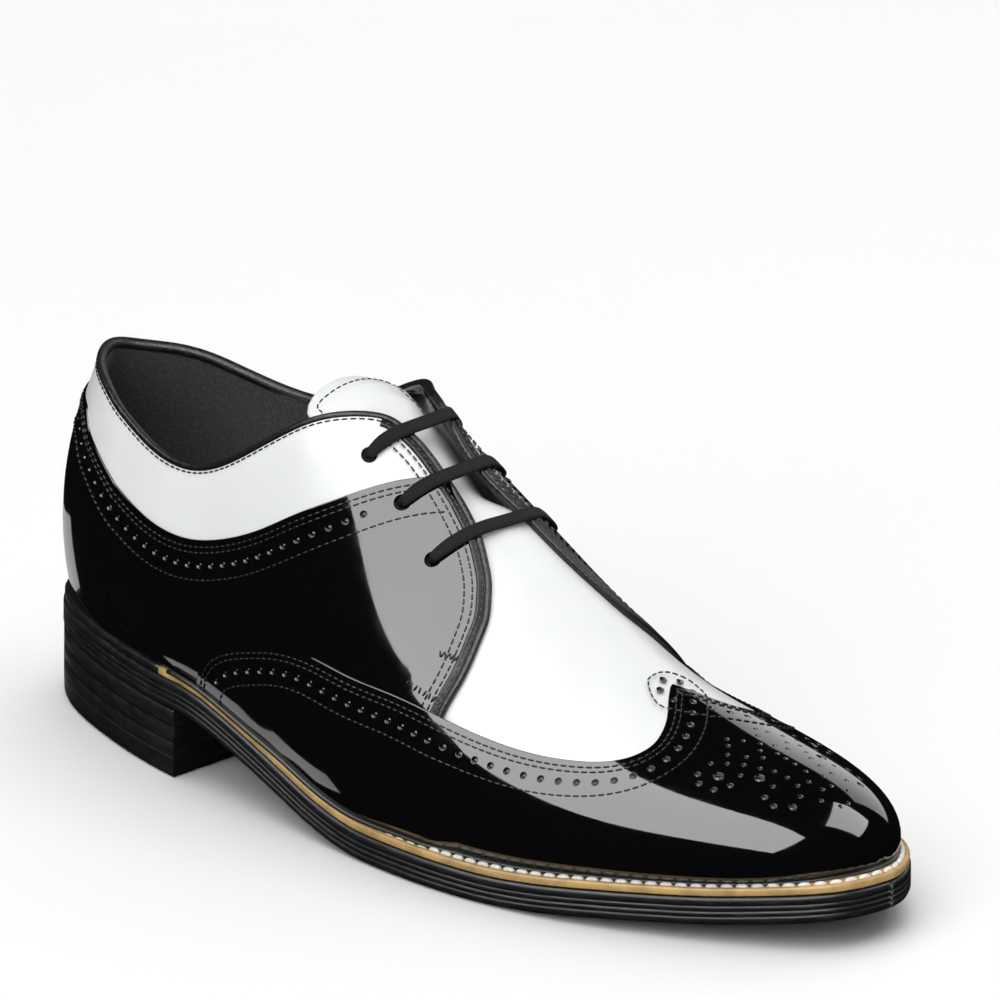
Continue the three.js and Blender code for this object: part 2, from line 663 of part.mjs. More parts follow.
function laceFrames() {
  const frames = [];
  const addFrame = (position, across, width) => {
    const way = across.clone().normalize();
    if (frames.length && frames[frames.length - 1].across.dot(way) < 0) way.negate();
    frames.push({ position, across: way, width });
  };
  const barWay = (from, to) => to.centre.clone().sub(from.centre).normalize();
  const dive = (eyelet, other, downward) => {
    const bar = barWay(eyelet, other);
    const overWall = bar.clone().projectOnPlane(eyelet.normal);
    const upWall = overWall.clone().normalize();
    const row = upWall.clone().cross(eyelet.normal);
    const steps = [
      [laceOver, 1.4, laceAtMouth, 0],
      [quarterRise, 0, laceInBore, 0.3],
      [-liningDepth / 2, 0, laceInBore, 0.7],
      [laceUnder, 0, laceInBore, 1],
    ];
    for (const [level, shift, width, twist] of downward ? steps : steps.slice().reverse()) {
      const position = eyelet.centre.clone().addScaledVector(eyelet.normal, level);
      addFrame(position.addScaledVector(overWall, shift), row.clone().lerp(upWall, twist), width);
    }
  };
  const crossing = (pair, sides) => {
    const [from, to] = sides.map((side) => eyelets[side][pair]);
    const bar = barWay(from, to);
    const overFlap = (side, share) => {
      const row = eyeletRows[side][pair];
      const u = stationOf(mix(row.along, row.edgeAlong, share));
      const v = mix(row.v, row.edge, share);
      return { position: onLast(side, u, v, laceOver), normal: lastNormal(side, u, v) };
    };
    const spots = [0.35, 0.68, 1].map((share) => overFlap(sides[0], share));
    const landing = [1, 0.68, 0.35].map((share) => overFlap(sides[1], share));
    const middle = (t) => ({
      position: spots[2].position.clone().lerp(landing[0].position, t),
      normal: spots[2].normal.clone().lerp(landing[0].normal, t),
    });
    for (const { position, normal } of [...spots, middle(0.33), middle(0.67), ...landing]) {
      addFrame(position, bar.clone().cross(normal), laceWidth);
    }
  };
  const runUnder = (side, route, steps) => {
    const along = polyline(route.map((_, i) => i), column(route, 'along'));
    const height = polyline(route.map((_, i) => i), column(route, 'v'));
    const spot = (t) => onLast(side, stationOf(along(t)), height(t), laceUnder);
    const last = route.length - 1;
    for (const t of steps) {
      const ahead = spot(Math.min(last, t + 0.1)).sub(spot(Math.max(0, t - 0.1)));
      const normal = lastNormal(side, stationOf(along(t)), height(t));
      addFrame(spot(t), ahead.cross(normal), laceAtMouth);
    }
  };
  const [outerRow, innerRow] = [eyeletRows.outer, eyeletRows.inner];
  const { outer, inner } = eyelets;
  runUnder('outer', tailRoute, [0, 1, 2, 3]);
  dive(outer[0], inner[0], false);
  crossing(0, ['outer', 'inner']);
  dive(inner[0], outer[0], true);
  runUnder('inner', innerRow.slice(0, 2), [0.22, 0.5, 0.78]);
  dive(inner[1], outer[1], false);
  crossing(1, ['inner', 'outer']);
  dive(outer[1], inner[1], true);
  runUnder('outer', [outerRow[1], ...upRoute, outerRow[2]], [0.6, 1, 1.35]);
  dive(outer[2], inner[2], false);
  crossing(2, ['outer', 'inner']);
  dive(inner[2], outer[2], true);
  return frames;
}

function laceSolid() {
  const frames = laceFrames();
  const points = [];
  frames.forEach(({ position, across, width }, i) => {
    const before = frames[Math.max(0, i - 1)].position;
    const after = frames[Math.min(frames.length - 1, i + 1)].position;
    const thick = after.clone().sub(before).cross(across).normalize();
    for (const [a, b] of [[-1, -1], [1, -1], [1, 1], [-1, 1]]) {
      const corner = position.clone().addScaledVector(across, a * width / 2);
      points.push(corner.addScaledVector(thick, b * laceThickness / 2).toArray());
    }
  });
  const faces = [];
  for (let i = 0; i + 1 < frames.length; i++) {
    for (let k = 0; k < 4; k++) {
      const a = i * 4 + k;
      const b = i * 4 + (k + 1) % 4;
      faces.push([a, b, b + 4], [a, b + 4, a + 4]);
    }
  }
  const last = (frames.length - 1) * 4;
  faces.push([0, 3, 2], [0, 2, 1], [last, last + 1, last + 2], [last, last + 2, last + 3]);
  return toManifold(solidGeometry(points, faces));
}

const materials = {
  patent: new THREE.MeshStandardMaterial({ color: 0x0a0a0c, roughness: 0.08, metalness: 0 }),
  white: new THREE.MeshStandardMaterial({ color: 0xf2f3f2, roughness: 0.35, metalness: 0 }),
  edge: new THREE.MeshStandardMaterial({ color: 0x15161a, roughness: 0.4, metalness: 0 }),
  golden: new THREE.MeshStandardMaterial({ color: 0xc79a55, roughness: 0.6, metalness: 0 }),
  lining: new THREE.MeshStandardMaterial({ color: 0x202126, roughness: 0.95, metalness: 0 }),
  braid: new THREE.MeshStandardMaterial({ color: 0x101013, roughness: 0.9, metalness: 0 }),
};

const shoe = new THREE.Group();
function addPiece(name, solid, material) {
  const mesh = new THREE.Mesh(fromManifold(solid), materials[material]);
  mesh.name = name;
  shoe.add(mesh);
}
addPiece('outsole', outsoleSolid(), 'edge');
addPiece('heel', heelSolid(), 'edge');
addPiece('welt', stripSolid(weltSpots, toeLedge + weltRunUnder), 'golden');
addPiece('heel_rand', stripSolid(randSpots, toeLedge + weltRunUnder), 'edge');
addPiece('insole', insoleSolid(), 'lining');
addPiece('upper', upperSolid(), 'patent');
addPiece('tongue', tongueSolid(), 'white');
addPiece('lace', laceSolid(), 'braid');
shoe.position.x = -heelLength / 2;

export default shoe;
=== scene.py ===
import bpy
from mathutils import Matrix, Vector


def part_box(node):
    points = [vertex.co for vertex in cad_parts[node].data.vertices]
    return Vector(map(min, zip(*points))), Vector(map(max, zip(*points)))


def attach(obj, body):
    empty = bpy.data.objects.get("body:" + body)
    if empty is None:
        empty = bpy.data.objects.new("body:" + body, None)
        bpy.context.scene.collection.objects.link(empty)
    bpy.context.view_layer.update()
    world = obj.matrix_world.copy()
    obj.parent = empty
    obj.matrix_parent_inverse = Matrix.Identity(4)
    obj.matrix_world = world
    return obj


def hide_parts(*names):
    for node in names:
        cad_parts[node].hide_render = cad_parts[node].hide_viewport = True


bl_info = {
    "name": "Two-tone wing-tip shoe",
    "version": (1, 0, 0),
    "blender": (4, 5, 0),
    "location": "View3D > Sidebar > Shoe",
    "description": "Dresses the solids of a black and white lace-up shoe in leather, holes, stitches and braid",
    "category": "Object",
}

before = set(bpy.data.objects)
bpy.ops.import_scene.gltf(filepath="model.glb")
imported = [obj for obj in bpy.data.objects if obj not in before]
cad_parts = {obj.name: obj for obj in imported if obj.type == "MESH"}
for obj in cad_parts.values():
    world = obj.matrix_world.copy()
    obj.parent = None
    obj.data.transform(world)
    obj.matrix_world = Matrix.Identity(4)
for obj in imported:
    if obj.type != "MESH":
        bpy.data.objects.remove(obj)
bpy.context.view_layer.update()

import math

import bpy
import numpy as np
from bpy.props import FloatProperty, FloatVectorProperty, PointerProperty
from mathutils import Matrix, Vector
from mathutils.geometry import delaunay_2d_cdt

# Sizes are in millimetres, measured forward from the back of the heel, as in the part's own tables;
# place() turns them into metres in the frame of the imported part.
MM = 0.001
SOLE_LOW, SOLE_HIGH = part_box("outsole")
SHOE_LENGTH = (SOLE_HIGH.x - SOLE_LOW.x) / MM
HEEL_BACK = SOLE_LOW.x / MM
BALL_WIDTH = 104.0
HALF_BALL = BALL_WIDTH / 2
INSTEP_HEIGHT = 96.0
SEAT_GAP = 0.3

HEEL_HEIGHT = 19.6
HEEL_LENGTH = 77.7
SOLE_THICKNESS = 8.0
TOE_SPRING = 9.0
WELT_THICKNESS = 2.2
WELT_INSET = 0.4
WELT_START = 70.0
TOE_LEDGE = 6.5
WELT_RUN_UNDER = 2.6

LINING_DEPTH = 1.3
QUARTER_RISE = 0.9
FOXING_RISE = 1.5
CAP_RISE = 0.8
CAP_RISE_OVER_FOXING = 2.2
INSOLE_THICKNESS = 3.0
TONGUE_THICKNESS = 1.3
EYELET_BORE = 4.8


def table(names, rows):
    """Columns by name from a short table of rows."""
    return {name: np.array([row[i] for row in rows], float) for i, name in enumerate(names)}


def place(points):
    """Table millimetres to metres in the part's frame."""
    points = np.asarray(points, float)
    return (points + np.array([HEEL_BACK, 0, 0])) * MM


def unit(vectors):
    """Vectors of length one."""
    return vectors / (np.linalg.norm(vectors, axis=-1, keepdims=True) + 1e-12)


def smooth(a, b, x):
    """0 at a, 1 at b, with a soft start and end."""
    t = np.clip((np.asarray(x, float) - a) / (b - a), 0, 1)
    return t * t * (3 - 2 * t)


def spline(xs, ys):
    """A natural cubic spline through the points."""
    xs = np.asarray(xs, float)
    ys = np.asarray(ys, float)
    count = len(xs)
    steps = np.diff(xs)
    matrix = np.zeros((count, count))
    right = np.zeros(count)
    matrix[0, 0] = matrix[-1, -1] = 1
    for i in range(1, count - 1):
        matrix[i, i - 1] = steps[i - 1]
        matrix[i, i] = 2 * (steps[i - 1] + steps[i])
        matrix[i, i + 1] = steps[i]
        right[i] = 6 * ((ys[i + 1] - ys[i]) / steps[i] - (ys[i] - ys[i - 1]) / steps[i - 1])
    bend = np.linalg.solve(matrix, right)

    def value(x):
        x = np.asarray(x, float)
        i = np.clip(np.searchsorted(xs, x) - 1, 0, count - 2)
        after = x - xs[i]
        before = xs[i + 1] - x
        h = steps[i]
        cubic = (bend[i] * before**3 + bend[i + 1] * after**3) / (6 * h)
        return cubic + (ys[i] / h - bend[i] * h / 6) * before + (ys[i + 1] / h - bend[i + 1] * h / 6) * after

    return value


# Sole outline: along in percent of the length, sides in percent of half the ball width
SOLE = table(("along", "outer", "inner"), (
    (0, -7.7, 7.7), (1.3, 13, 31), (3.3, 24.6, 41.5), (6.6, 37.5, 52), (13.2, 54.6, 61.5),
    (19.8, 67.3, 65), (25.7, 75, 63.5), (33, 80.4, 59.2), (42.9, 88.5, 58.7), (49.5, 94, 63.5),
    (56.1, 98, 74), (62.7, 99, 86.5), (69.3, 95.2, 97), (75.9, 86.5, 101), (82.5, 72, 95.2),
    (89.1, 53.7, 81), (94.1, 37, 65.5), (97.4, 22.7, 48), (99.3, 6.5, 32.5), (100, -17.9, 17.9),
))
SOLE_TURNS = np.arccos(1 - 2 * SOLE["along"] / 100)
SOLE_SIDES = {
    -1: spline(SOLE_TURNS, -SOLE["outer"] * HALF_BALL / 100),
    1: spline(SOLE_TURNS, SOLE["inner"] * HALF_BALL / 100),
}
TREAD_HEEL = table(("along", "share"), (
    (0, 1), (25.7, 1), (27.7, 0.985), (30, 0.91), (35, 0.68), (40, 0.44), (45.5, 0.17), (50, 0.03), (52.5, 0),
))
TREAD_TOE = table(("along", "share"), ((52.5, 0), (68, 0), (72.5, 0.08), (78, 0.25), (88.4, 0.52), (100, 1)))


def eased(rows, along):
    """A table read with its corners eased."""
    return sum(np.interp(along + k * 0.9, rows["along"], rows["share"]) for k in (-2, -1, 0, 1, 2)) / 5


def tread_height(x):
    """Height of the tread over the floor."""
    along = 100 * np.asarray(x, float) / SHOE_LENGTH
    over_heel = np.where(along < 26.5, 1, eased(TREAD_HEEL, along))
    return HEEL_HEIGHT * over_heel + TOE_SPRING * eased(TREAD_TOE, along)


def welt_base(x):
    return tread_height(x) + SOLE_THICKNESS + SEAT_GAP


def feather_height(x):
    """Height of the line where the upper meets the welt."""
    return welt_base(x) + WELT_THICKNESS + SEAT_GAP


def outline(turns, side, inset):
    """Points of the sole's outline, moved in by inset; side is -1 outer or 1 inner."""
    turns = np.asarray(turns, float)
    step = 0.004

    def at(turn):
        return np.stack([SHOE_LENGTH * (1 - np.cos(turn)) / 2, SOLE_SIDES[side](turn)], -1)

    way = at(np.minimum(math.pi, turns + step)) - at(np.maximum(0, turns - step))
    way = np.where((turns <= step)[:, None], [0, side], way)
    way = np.where((turns >= math.pi - step)[:, None], [0, -side], way)
    way = unit(way)
    return at(turns) + np.stack([way[:, 1], -way[:, 0]], -1) * side * inset


def outline_loop(inset, start=0.0, steps=150):
    """Outline from a place on the outer side, round the toe, to the same place on the inner side."""
    first = math.acos(1 - 2 * start / SHOE_LENGTH)
    turns = np.linspace(first, math.pi, steps)
    outer = outline(turns, -1, inset)
    inner = outline(turns[::-1], 1, inset)
    return np.concatenate([outer, inner[1:]])


# The last: sections in percent of half the ball width, heights in percent of the instep height
SECTIONS = table((
    "along", "outerTop", "outerHeight", "outerFeather", "outerBelly", "outerSide", "outerShoulder", "outerLean",
    "innerTop", "innerHeight", "innerFeather", "innerBelly", "innerSide", "innerShoulder", "innerLean", "leanHeight",
), (
    (13.9, -42, 65, -51, 5, 3, -7, 6, 41, 67.6, 57, 5, 3, -7, 6, 80),
    (19.8, -50, 59.3, -62, 6, 2, -10, 7, 50, 63.4, 61, 6, 2, -8, 7, 80),
    (25.7, -54, 59.8, -70, 7, 2, -12, 8, 54, 64.5, 59, 8, 3, -6, 8, 80),
    (31.4, -55, 72, -74, 8, 2, -12, 10, 54, 75.7, 55, 10, 4, -5, 10, 82),
    (36.3, -50, 87.5, -77, 9, 2, -11, 13, 46, 89.7, 53, 12, 5, -6, 13, 86),
    (40.3, -39, 97.8, -79, 10, 2, -12, 19, 25, 97.8, 53, 12, 6, -13.5, 9, 92),
    (44.2, -18, 100, -82, 11, 2, -17, 27, 10, 100, 54, 12, 6, -22, 11.5, 98),
    (49.5, -4, 92, -86, 12, 3, -19, 31, -2, 92, 58, 13, 6, -19.6, 38.5, 100),
    (55.4, -1, 80.7, -88, 13, 6, -17, 33, -1, 80.7, 66, 13, 5, -21.2, 38.5, 100),
    (62.7, 2, 65, -89, 15, 11, -12, 35, 2, 65, 79, 12, 4, -27, 30.8, 100),
    (71, 4, 50, -83, 15, 13, -5, 37, 4, 50, 88, 12, 4, -32.7, 21.2, 100),
    (79.2, 8, 37.8, -70, 14, 14, 0, 36, 8, 37.8, 88, 11, 5, -21.2, 23.1, 100),
    (86.5, 12, 30, -52, 13, 14, 3, 31, 12, 30, 78, 10, 6, -12, 23, 100),
    (92.4, 14, 22.5, -33, 12, 13, 4, 25, 14, 22.5, 61, 9, 6, -7, 19, 100),
))
BELLY_HEIGHT = 0.2
SIDE_HEIGHT = 0.47
SHOULDER_HEIGHT = 0.74
TOE_CENTRE = 17.3
BACK_HEIGHT = 70.6
BACK = table(("in", "up"), ((1.15, 0), (-0.15, 16), (-0.65, 40), (1.15, 66), (3.6, 86), (4.95, 100)))
HEEL_MIDDLE = 1.0
FAN_CENTRE = SECTIONS["along"][0] / 100 * SHOE_LENGTH
UPPER_TIP = SHOE_LENGTH - TOE_LEDGE
BEZIER = (1, 5, 10, 10, 5, 1)
SLOPE_STEP = 1e-4
LEAD_FADE = 4


def station_at(x):
    return 2 / math.pi * np.arcsin(np.clip((np.asarray(x, float) - FAN_CENTRE) / (UPPER_TIP - FAN_CENTRE), -1, 1))


def x_at(station):
    return FAN_CENTRE + (UPPER_TIP - FAN_CENTRE) * np.sin(math.pi * station / 2)


def station_of(along):
    """Station of a place given in percent of the length."""
    return station_at(np.asarray(along, float) / 100 * SHOE_LENGTH)


def side_rails(side, sign):
    """Six lines along the last, as splines of y and z in the station."""
    x = SECTIONS["along"] / 100 * SHOE_LENGTH
    low = feather_height(x)
    rise = SECTIONS[side + "Height"] / 100 * INSTEP_HEIGHT

    def across(name):
        return SECTIONS[side + name] / 100 * HALF_BALL

    feather = across("Feather")
    rows = (
        (feather, low),
        (feather + sign * across("Belly"), low + BELLY_HEIGHT * rise),
        (feather + sign * across("Side"), low + SIDE_HEIGHT * rise),
        (feather + sign * across("Shoulder"), low + SHOULDER_HEIGHT * rise),
        (across("Top") + sign * across("Lean"), low + SECTIONS["leanHeight"] / 100 * rise),
        (across("Top"), low + rise),
    )
    stations = np.append(station_at(x), 1)
    tip = (TOE_CENTRE / 100 * HALF_BALL, float(feather_height(UPPER_TIP)))
    return [[spline(stations, np.append(row[axis], tip[axis])) for axis in (0, 1)] for row in rows]


RAILS = {False: side_rails("outer", -1), True: side_rails("inner", 1)}


def blend5(v, values):
    return sum(BEZIER[k] * v**k * (1 - v) ** (5 - k) * value for k, value in enumerate(values))


def side_point(inner, u, v):
    """Points of one side of the last."""
    q = np.clip(u, 0, 1)
    y, z = (blend5(v, [rail[axis](q) for rail in RAILS[inner]]) for axis in (0, 1))
    (y0, y1), (z0, z1) = (
        [blend5(v, [rail[axis](station) for rail in RAILS[inner]]) for station in (0.0, SLOPE_STEP)]
        for axis in (0, 1)
    )
    span = x_at(SLOPE_STEP) - FAN_CENTRE
    turn = np.clip(-u, 0, 1) * math.pi / 2
    back_x = blend5(v, BACK["in"]) / 100 * SHOE_LENGTH
    back_z = feather_height(0) + blend5(v, BACK["up"]) / 100 * BACK_HEIGHT
    heel_x = FAN_CENTRE - (FAN_CENTRE - back_x) * np.sin(turn)
    ahead = heel_x - FAN_CENTRE
    heel_y = HEEL_MIDDLE + (y0 - HEEL_MIDDLE + (y1 - y0) / span * ahead) * np.cos(turn)
    heel_z = z0 * np.cos(turn) ** 2 + back_z * np.sin(turn) ** 2
    heel_z = heel_z + (z1 - z0) / span * ahead * np.cos(turn) ** LEAD_FADE
    heel = u < 0
    return np.stack([np.where(heel, heel_x, x_at(q)), np.where(heel, heel_y, y), np.where(heel, heel_z, z)], -1)


class Chart:
    """A stretch of the last spread flat, so that leather can be cut for it in near true size.

    The forepart runs over the ridge: p is the station, t is 0 at the outer feather, 1 on the ridge
    and 2 at the inner feather. The quarters run round the heel: p is negative on the outer side,
    0 at the back and positive on the inner side, t is 0 at the feather and 1 at the topline.
    """

    def __init__(self, forepart, low, high):
        self.forepart = forepart
        self.hand = 1 if forepart else -1
        self.p = np.linspace(low, high, 241)
        middle = self.point(self.p, np.full_like(self.p, 1.0 if forepart else 0.45))
        self.a = np.append(0, np.cumsum(np.linalg.norm(np.diff(middle, axis=0), axis=1)))
        shares = np.linspace(0, 2 if forepart else 1, 41)
        ribs = np.stack([self.point(self.p, np.full_like(self.p, t)) for t in shares])
        self.rib = np.linalg.norm(np.diff(ribs, axis=0), axis=2).sum(0) + 1e-6

    def spot(self, p, t):
        """Side, u and v of a place on the chart."""
        if self.forepart:
            return t > 1, p, np.where(t > 1, 2 - t, t)
        return p > 0, np.abs(p) - 1, t

    def point(self, p, t):
        p, t = np.broadcast_arrays(np.asarray(p, float), np.asarray(t, float))
        inner, u, v = self.spot(p, t)
        return np.where(inner[..., None], side_point(True, u, v), side_point(False, u, v))

    def slopes(self, p, t):
        """Change of the point along p and along t."""
        p, t = np.broadcast_arrays(np.asarray(p, float), np.asarray(t, float))
        step = 1e-3
        if self.forepart:
            p = np.minimum(p, 1 - 2 * step)
        high = 2.0 if self.forepart else 1.0
        t0 = np.maximum(0, t - step)
        t1 = np.minimum(high, t + step)
        along = (self.point(p + step, t) - self.point(p - step, t)) / (2 * step)
        up = (self.point(p, t1) - self.point(p, t0)) / (t1 - t0)[..., None]
        return along, up

    def normal(self, p, t):
        along, up = self.slopes(p, t)
        normal = unit(np.cross(along, up) * self.hand)
        v = self.spot(np.asarray(p, float), np.asarray(t, float))[2]
        normal[..., 2] *= np.minimum(1, v / 0.12)
        return unit(normal)

    def raised(self, p, t, level):
        """Points that stand level over the last."""
        p, t = np.broadcast_arrays(np.asarray(p, float), np.asarray(t, float))
        return self.point(p, t) + self.normal(p, t) * np.asarray(level(p, t), float)[..., None]

    def raised_normal(self, p, t, level):
        p, t = np.broadcast_arrays(np.asarray(p, float), np.asarray(t, float))
        step = 2e-3
        if self.forepart:
            p = np.minimum(p, 1 - 2 * step)
        high = 2.0 if self.forepart else 1.0
        t0 = np.maximum(0, t - step)
        t1 = np.minimum(high, t + step)
        along = self.raised(p + step, t, level) - self.raised(p - step, t, level)
        up = self.raised(p, t1, level) - self.raised(p, t0, level)
        return unit(np.cross(along, up) * self.hand)

    def flat(self, spots):
        """Chart places to flat millimetres."""
        p, t = spots[:, 0], spots[:, 1]
        rib = np.interp(p, self.p, self.rib)
        across = (t - 1) * rib / 2 if self.forepart else t * rib
        return np.stack([np.interp(p, self.p, self.a), across], -1)

    def unflat(self, flat):
        p = np.interp(flat[:, 0], self.a, self.p)
        rib = np.interp(p, self.p, self.rib)
        t = flat[:, 1] / rib * 2 + 1 if self.forepart else flat[:, 1] / rib
        return np.stack([p, t], -1)

    def moved(self, spots, ways):
        """Chart places moved by vectors that lie on the surface."""
        along, up = self.slopes(spots[:, 0], spots[:, 1])
        aa = (along * along).sum(-1)
        au = (along * up).sum(-1)
        uu = (up * up).sum(-1)
        ra = (along * ways).sum(-1)
        ru = (up * ways).sum(-1)
        size = aa * uu - au * au + 1e-9
        return spots + np.stack([(uu * ra - au * ru) / size, (aa * ru - au * ra) / size], -1)

    def offset(self, spots, distance, steps=4):
        """A line on the chart moved sideways, to the left of its run seen from outside."""
        for _ in range(steps):
            points = self.point(spots[:, 0], spots[:, 1])
            way = unit(np.gradient(points, axis=0))
            left = np.cross(self.normal(spots[:, 0], spots[:, 1]), way)
            spots = self.moved(spots, left * distance / steps)
            spots = even(spots, self, 1.2)
        return spots

    def circle(self, spot, radius, count=14):
        """A round hole's edge about a place on the chart."""
        centre = np.repeat(np.asarray([spot], float), count, 0)
        along, _ = self.slopes(centre[:, 0], centre[:, 1])
        normal = self.normal(centre[:, 0], centre[:, 1])
        first = unit(along - normal * (along * normal).sum(-1, keepdims=True))
        second = np.cross(normal, first)
        angle = np.linspace(0, 2 * math.pi, count, endpoint=False)[:, None]
        return self.moved(centre, (first * np.cos(angle) + second * np.sin(angle)) * radius)


def even(spots, chart, spacing, closed=False):
    """A line on the chart stepped evenly in true length."""
    if closed:
        spots = np.concatenate([spots, spots[:1]])
    points = chart.point(spots[:, 0], spots[:, 1])
    run = np.append(0, np.cumsum(np.linalg.norm(np.diff(points, axis=0), axis=1)))
    keep = np.append(True, np.diff(run) > 1e-9)
    count = max(3, int(round(run[-1] / spacing)) + 1)
    steps = np.linspace(0, run[-1], count)
    result = np.stack([np.interp(steps, run[keep], spots[keep, axis]) for axis in (0, 1)], -1)
    return result[:-1] if closed else result


def eased_line(spots, passes=3):
    """A line with its corners eased and its ends kept."""
    for _ in range(passes):
        inside = (spots[:-2] + 2 * spots[1:-1] + spots[2:]) / 4
        spots = np.concatenate([spots[:1], inside, spots[-1:]])
    return spots


FOREPART = Chart(True, 0.0, 1.0)
QUARTERS = Chart(False, -1.75, 1.75)

# Panel edges: v against along, in percent of the length
FACING = {
    -1: table(("v", "along"), (
        (0, 61), (0.45, 60.8), (0.57, 61.2), (0.63, 61), (0.735, 60.2), (0.81, 58.3), (0.87, 55.4),
        (0.905, 52), (0.93, 48.7), (0.955, 45.2), (1, 42.6),
    )),
    1: table(("v", "along"), (
        (0, 65.4), (0.5, 65.8), (0.63, 65.9), (0.73, 65.6), (0.8, 64.9), (0.84, 63.7), (0.87, 62.5),
        (0.905, 60.8), (0.93, 58.8), (0.948, 55.5), (0.96, 51.5), (1, 41.8),
    )),
}
CAP_BACK = table(("v", "along"), (
    (0, 29), (0.1, 29.7), (0.17, 30.9), (0.21, 32.2), (0.253, 34.9), (0.275, 37.6), (0.31, 43), (0.352, 48.1),
    (0.393, 53.3), (0.432, 58.5), (0.485, 65.4), (0.517, 69.6), (0.562, 73.2), (0.618, 76.5), (0.682, 78.3),
    (0.753, 79), (0.8, 78.8), (0.855, 78.1), (0.9, 77.2), (0.94, 76), (1, 74.6),
))
FOXING_TOP = {
    -1: table(("along", "v"), (
        (6, 0.78), (8, 0.7), (11.5, 0.652), (14.8, 0.61), (20, 0.597), (27, 0.588), (34, 0.588), (38, 0.602),
        (42.1, 0.642), (44.6, 0.69), (46.3, 0.755), (48.6, 0.855), (49.6, 0.915), (70, 0.915),
    )),
    1: table(("along", "v"), (
        (6, 0.78), (8, 0.7), (11.5, 0.652), (14.8, 0.61), (20, 0.597), (27, 0.588), (34, 0.588), (38, 0.602),
        (42.1, 0.642), (44.6, 0.69), (46.3, 0.755), (48.4, 0.87), (49.4, 0.94), (50, 0.96), (70, 0.96),
    )),
}
HOLE_ROW_END = 47.0
FOXING_FRONT = {-1: 49.9, 1: 50.2}
FOXING_END = {-1: 0.9, 1: 0.958}
EYELETS = {
    -1: table(("along", "v", "edge_along", "edge"), (
        (53.2, 0.73, 55, 0.9), (48.4, 0.77, 49.9, 0.925), (44.3, 0.82, 45.5, 0.955),
    )),
    1: table(("along", "v", "edge_along", "edge"), (
        (54.2, 0.735, 55.6, 0.955), (49, 0.775, 50.1, 0.968), (44.6, 0.825, 45.6, 0.982),
    )),
}
RIM_TOP = {
    -1: table(("along", "v"), ((33.5, 1), (37, 0.992), (41, 0.98), (60, 0.98))),
    1: table(("along", "v"), (
        (30, 1), (33, 0.992), (35, 0.98), (37, 0.963), (39.5, 0.945), (41.2, 0.938), (43, 0.945), (45.5, 0.958),
        (48, 0.965), (51.5, 0.96), (55.5, 0.948),
    )),
}
FACING_TOP = {-1: 0.98, 1: 0.96}

# Soft wrinkles: side, the ends of each (along in mm, v), half width and height in mm
WRINKLES = (
    (-1, 66, 0.70, 74, 0.90, 3.2, -0.16), (-1, 73, 0.68, 82, 0.87, 3.0, 0.12), (-1, 52, 0.74, 58, 0.9, 3.0, -0.12),
    (-1, 118, 0.66, 111, 0.86, 3.4, -0.16), (-1, 96, 0.30, 112, 0.44, 4.5, -0.2), (-1, 104, 0.26, 122, 0.38, 4.0, 0.14),
    (-1, 8, 0.55, 22, 0.50, 3.5, -0.14), (-1, 190, 0.80, 199, 0.99, 3.4, -0.2), (-1, 197, 0.78, 206, 0.97, 3.2, 0.12),
    (-1, 168, 0.40, 178, 0.56, 4.0, -0.16), (1, 196, 0.82, 203, 0.99, 3.4, -0.18), (1, 120, 0.5, 112, 0.74, 4.0, -0.2),
    (1, 70, 0.62, 78, 0.86, 3.4, -0.16), (1, 172, 0.36, 186, 0.6, 4.5, -0.2),
)
HEIGHT_SCALE = 90.0


def rounded(rows, low, high, count, key="v", value="along"):
    """A table read at even steps, with its corners eased."""
    steps = np.linspace(low, high, count)
    line = np.stack([steps, np.interp(steps, rows[key], rows[value])], -1)
    line[:, 1] = eased_line(line, 16)[:, 1]
    return line[:, 0], line[:, 1]


def quarter_spot(side, along, v):
    """Chart place on the quarters from percent of the length and height share."""
    return np.stack([side * (station_of(along) + 1), v], -1)


def facing_line(side, low, high, count=240):
    """A facing's edge from low to high."""
    v, along = rounded(FACING[side], low, high, count)
    return quarter_spot(side, along, v)


def foxing_line(side):
    """The foxing's top edge on one side, from the back of the heel to the facing."""
    u = np.linspace(-1, float(station_of(FOXING_FRONT[side])), 240)
    x = side_point(side > 0, u, np.full_like(u, 0.7))[:, 0]
    v = np.interp(100 * x / SHOE_LENGTH, FOXING_TOP[side]["along"], FOXING_TOP[side]["v"])
    line = np.stack([side * (u + 1), v], -1)
    return eased_line(line, 20)


def topline(p):
    """Height share of the topline; it dips a little before the facings."""
    along = 100 * x_at(np.clip(np.abs(p) - 1, -1, 1)) / SHOE_LENGTH
    outer, inner = (np.interp(along, RIM_TOP[side]["along"], RIM_TOP[side]["v"]) for side in (-1, 1))
    return np.where(np.asarray(p) < 0, outer, inner)


def cap_line(side):
    """The wing's edge on one side, from the feather to the centre peak."""
    v, along = rounded(CAP_BACK, 0, 1, 120)
    return np.stack([station_of(along), v if side < 0 else 2 - v], -1)


def wrinkled(chart, p, t):
    """Height of the soft wrinkles at places on a chart."""
    inner, u, v = chart.spot(*np.broadcast_arrays(np.asarray(p, float), np.asarray(t, float)))
    along = x_at(np.clip(u, -1, 1))
    up = v * HEIGHT_SCALE
    total = np.zeros(np.shape(along))
    for side, along0, v0, along1, v1, width, height in WRINKLES:
        run, rise = along1 - along0, (v1 - v0) * HEIGHT_SCALE
        share = ((along - along0) * run + (up - v0 * HEIGHT_SCALE) * rise) / (run**2 + rise**2)
        share = np.clip(share, 0, 1)
        gap = np.hypot(along - along0 - share * run, up - v0 * HEIGHT_SCALE - share * rise)
        fade = 0.35 + 0.65 * np.sin(math.pi * share)
        total += np.where(inner == (side > 0), height * fade * np.exp(-((gap / width) ** 2)), 0)
    return total


def vamp_level(p, t):
    return wrinkled(FOREPART, p, t) - 0.02


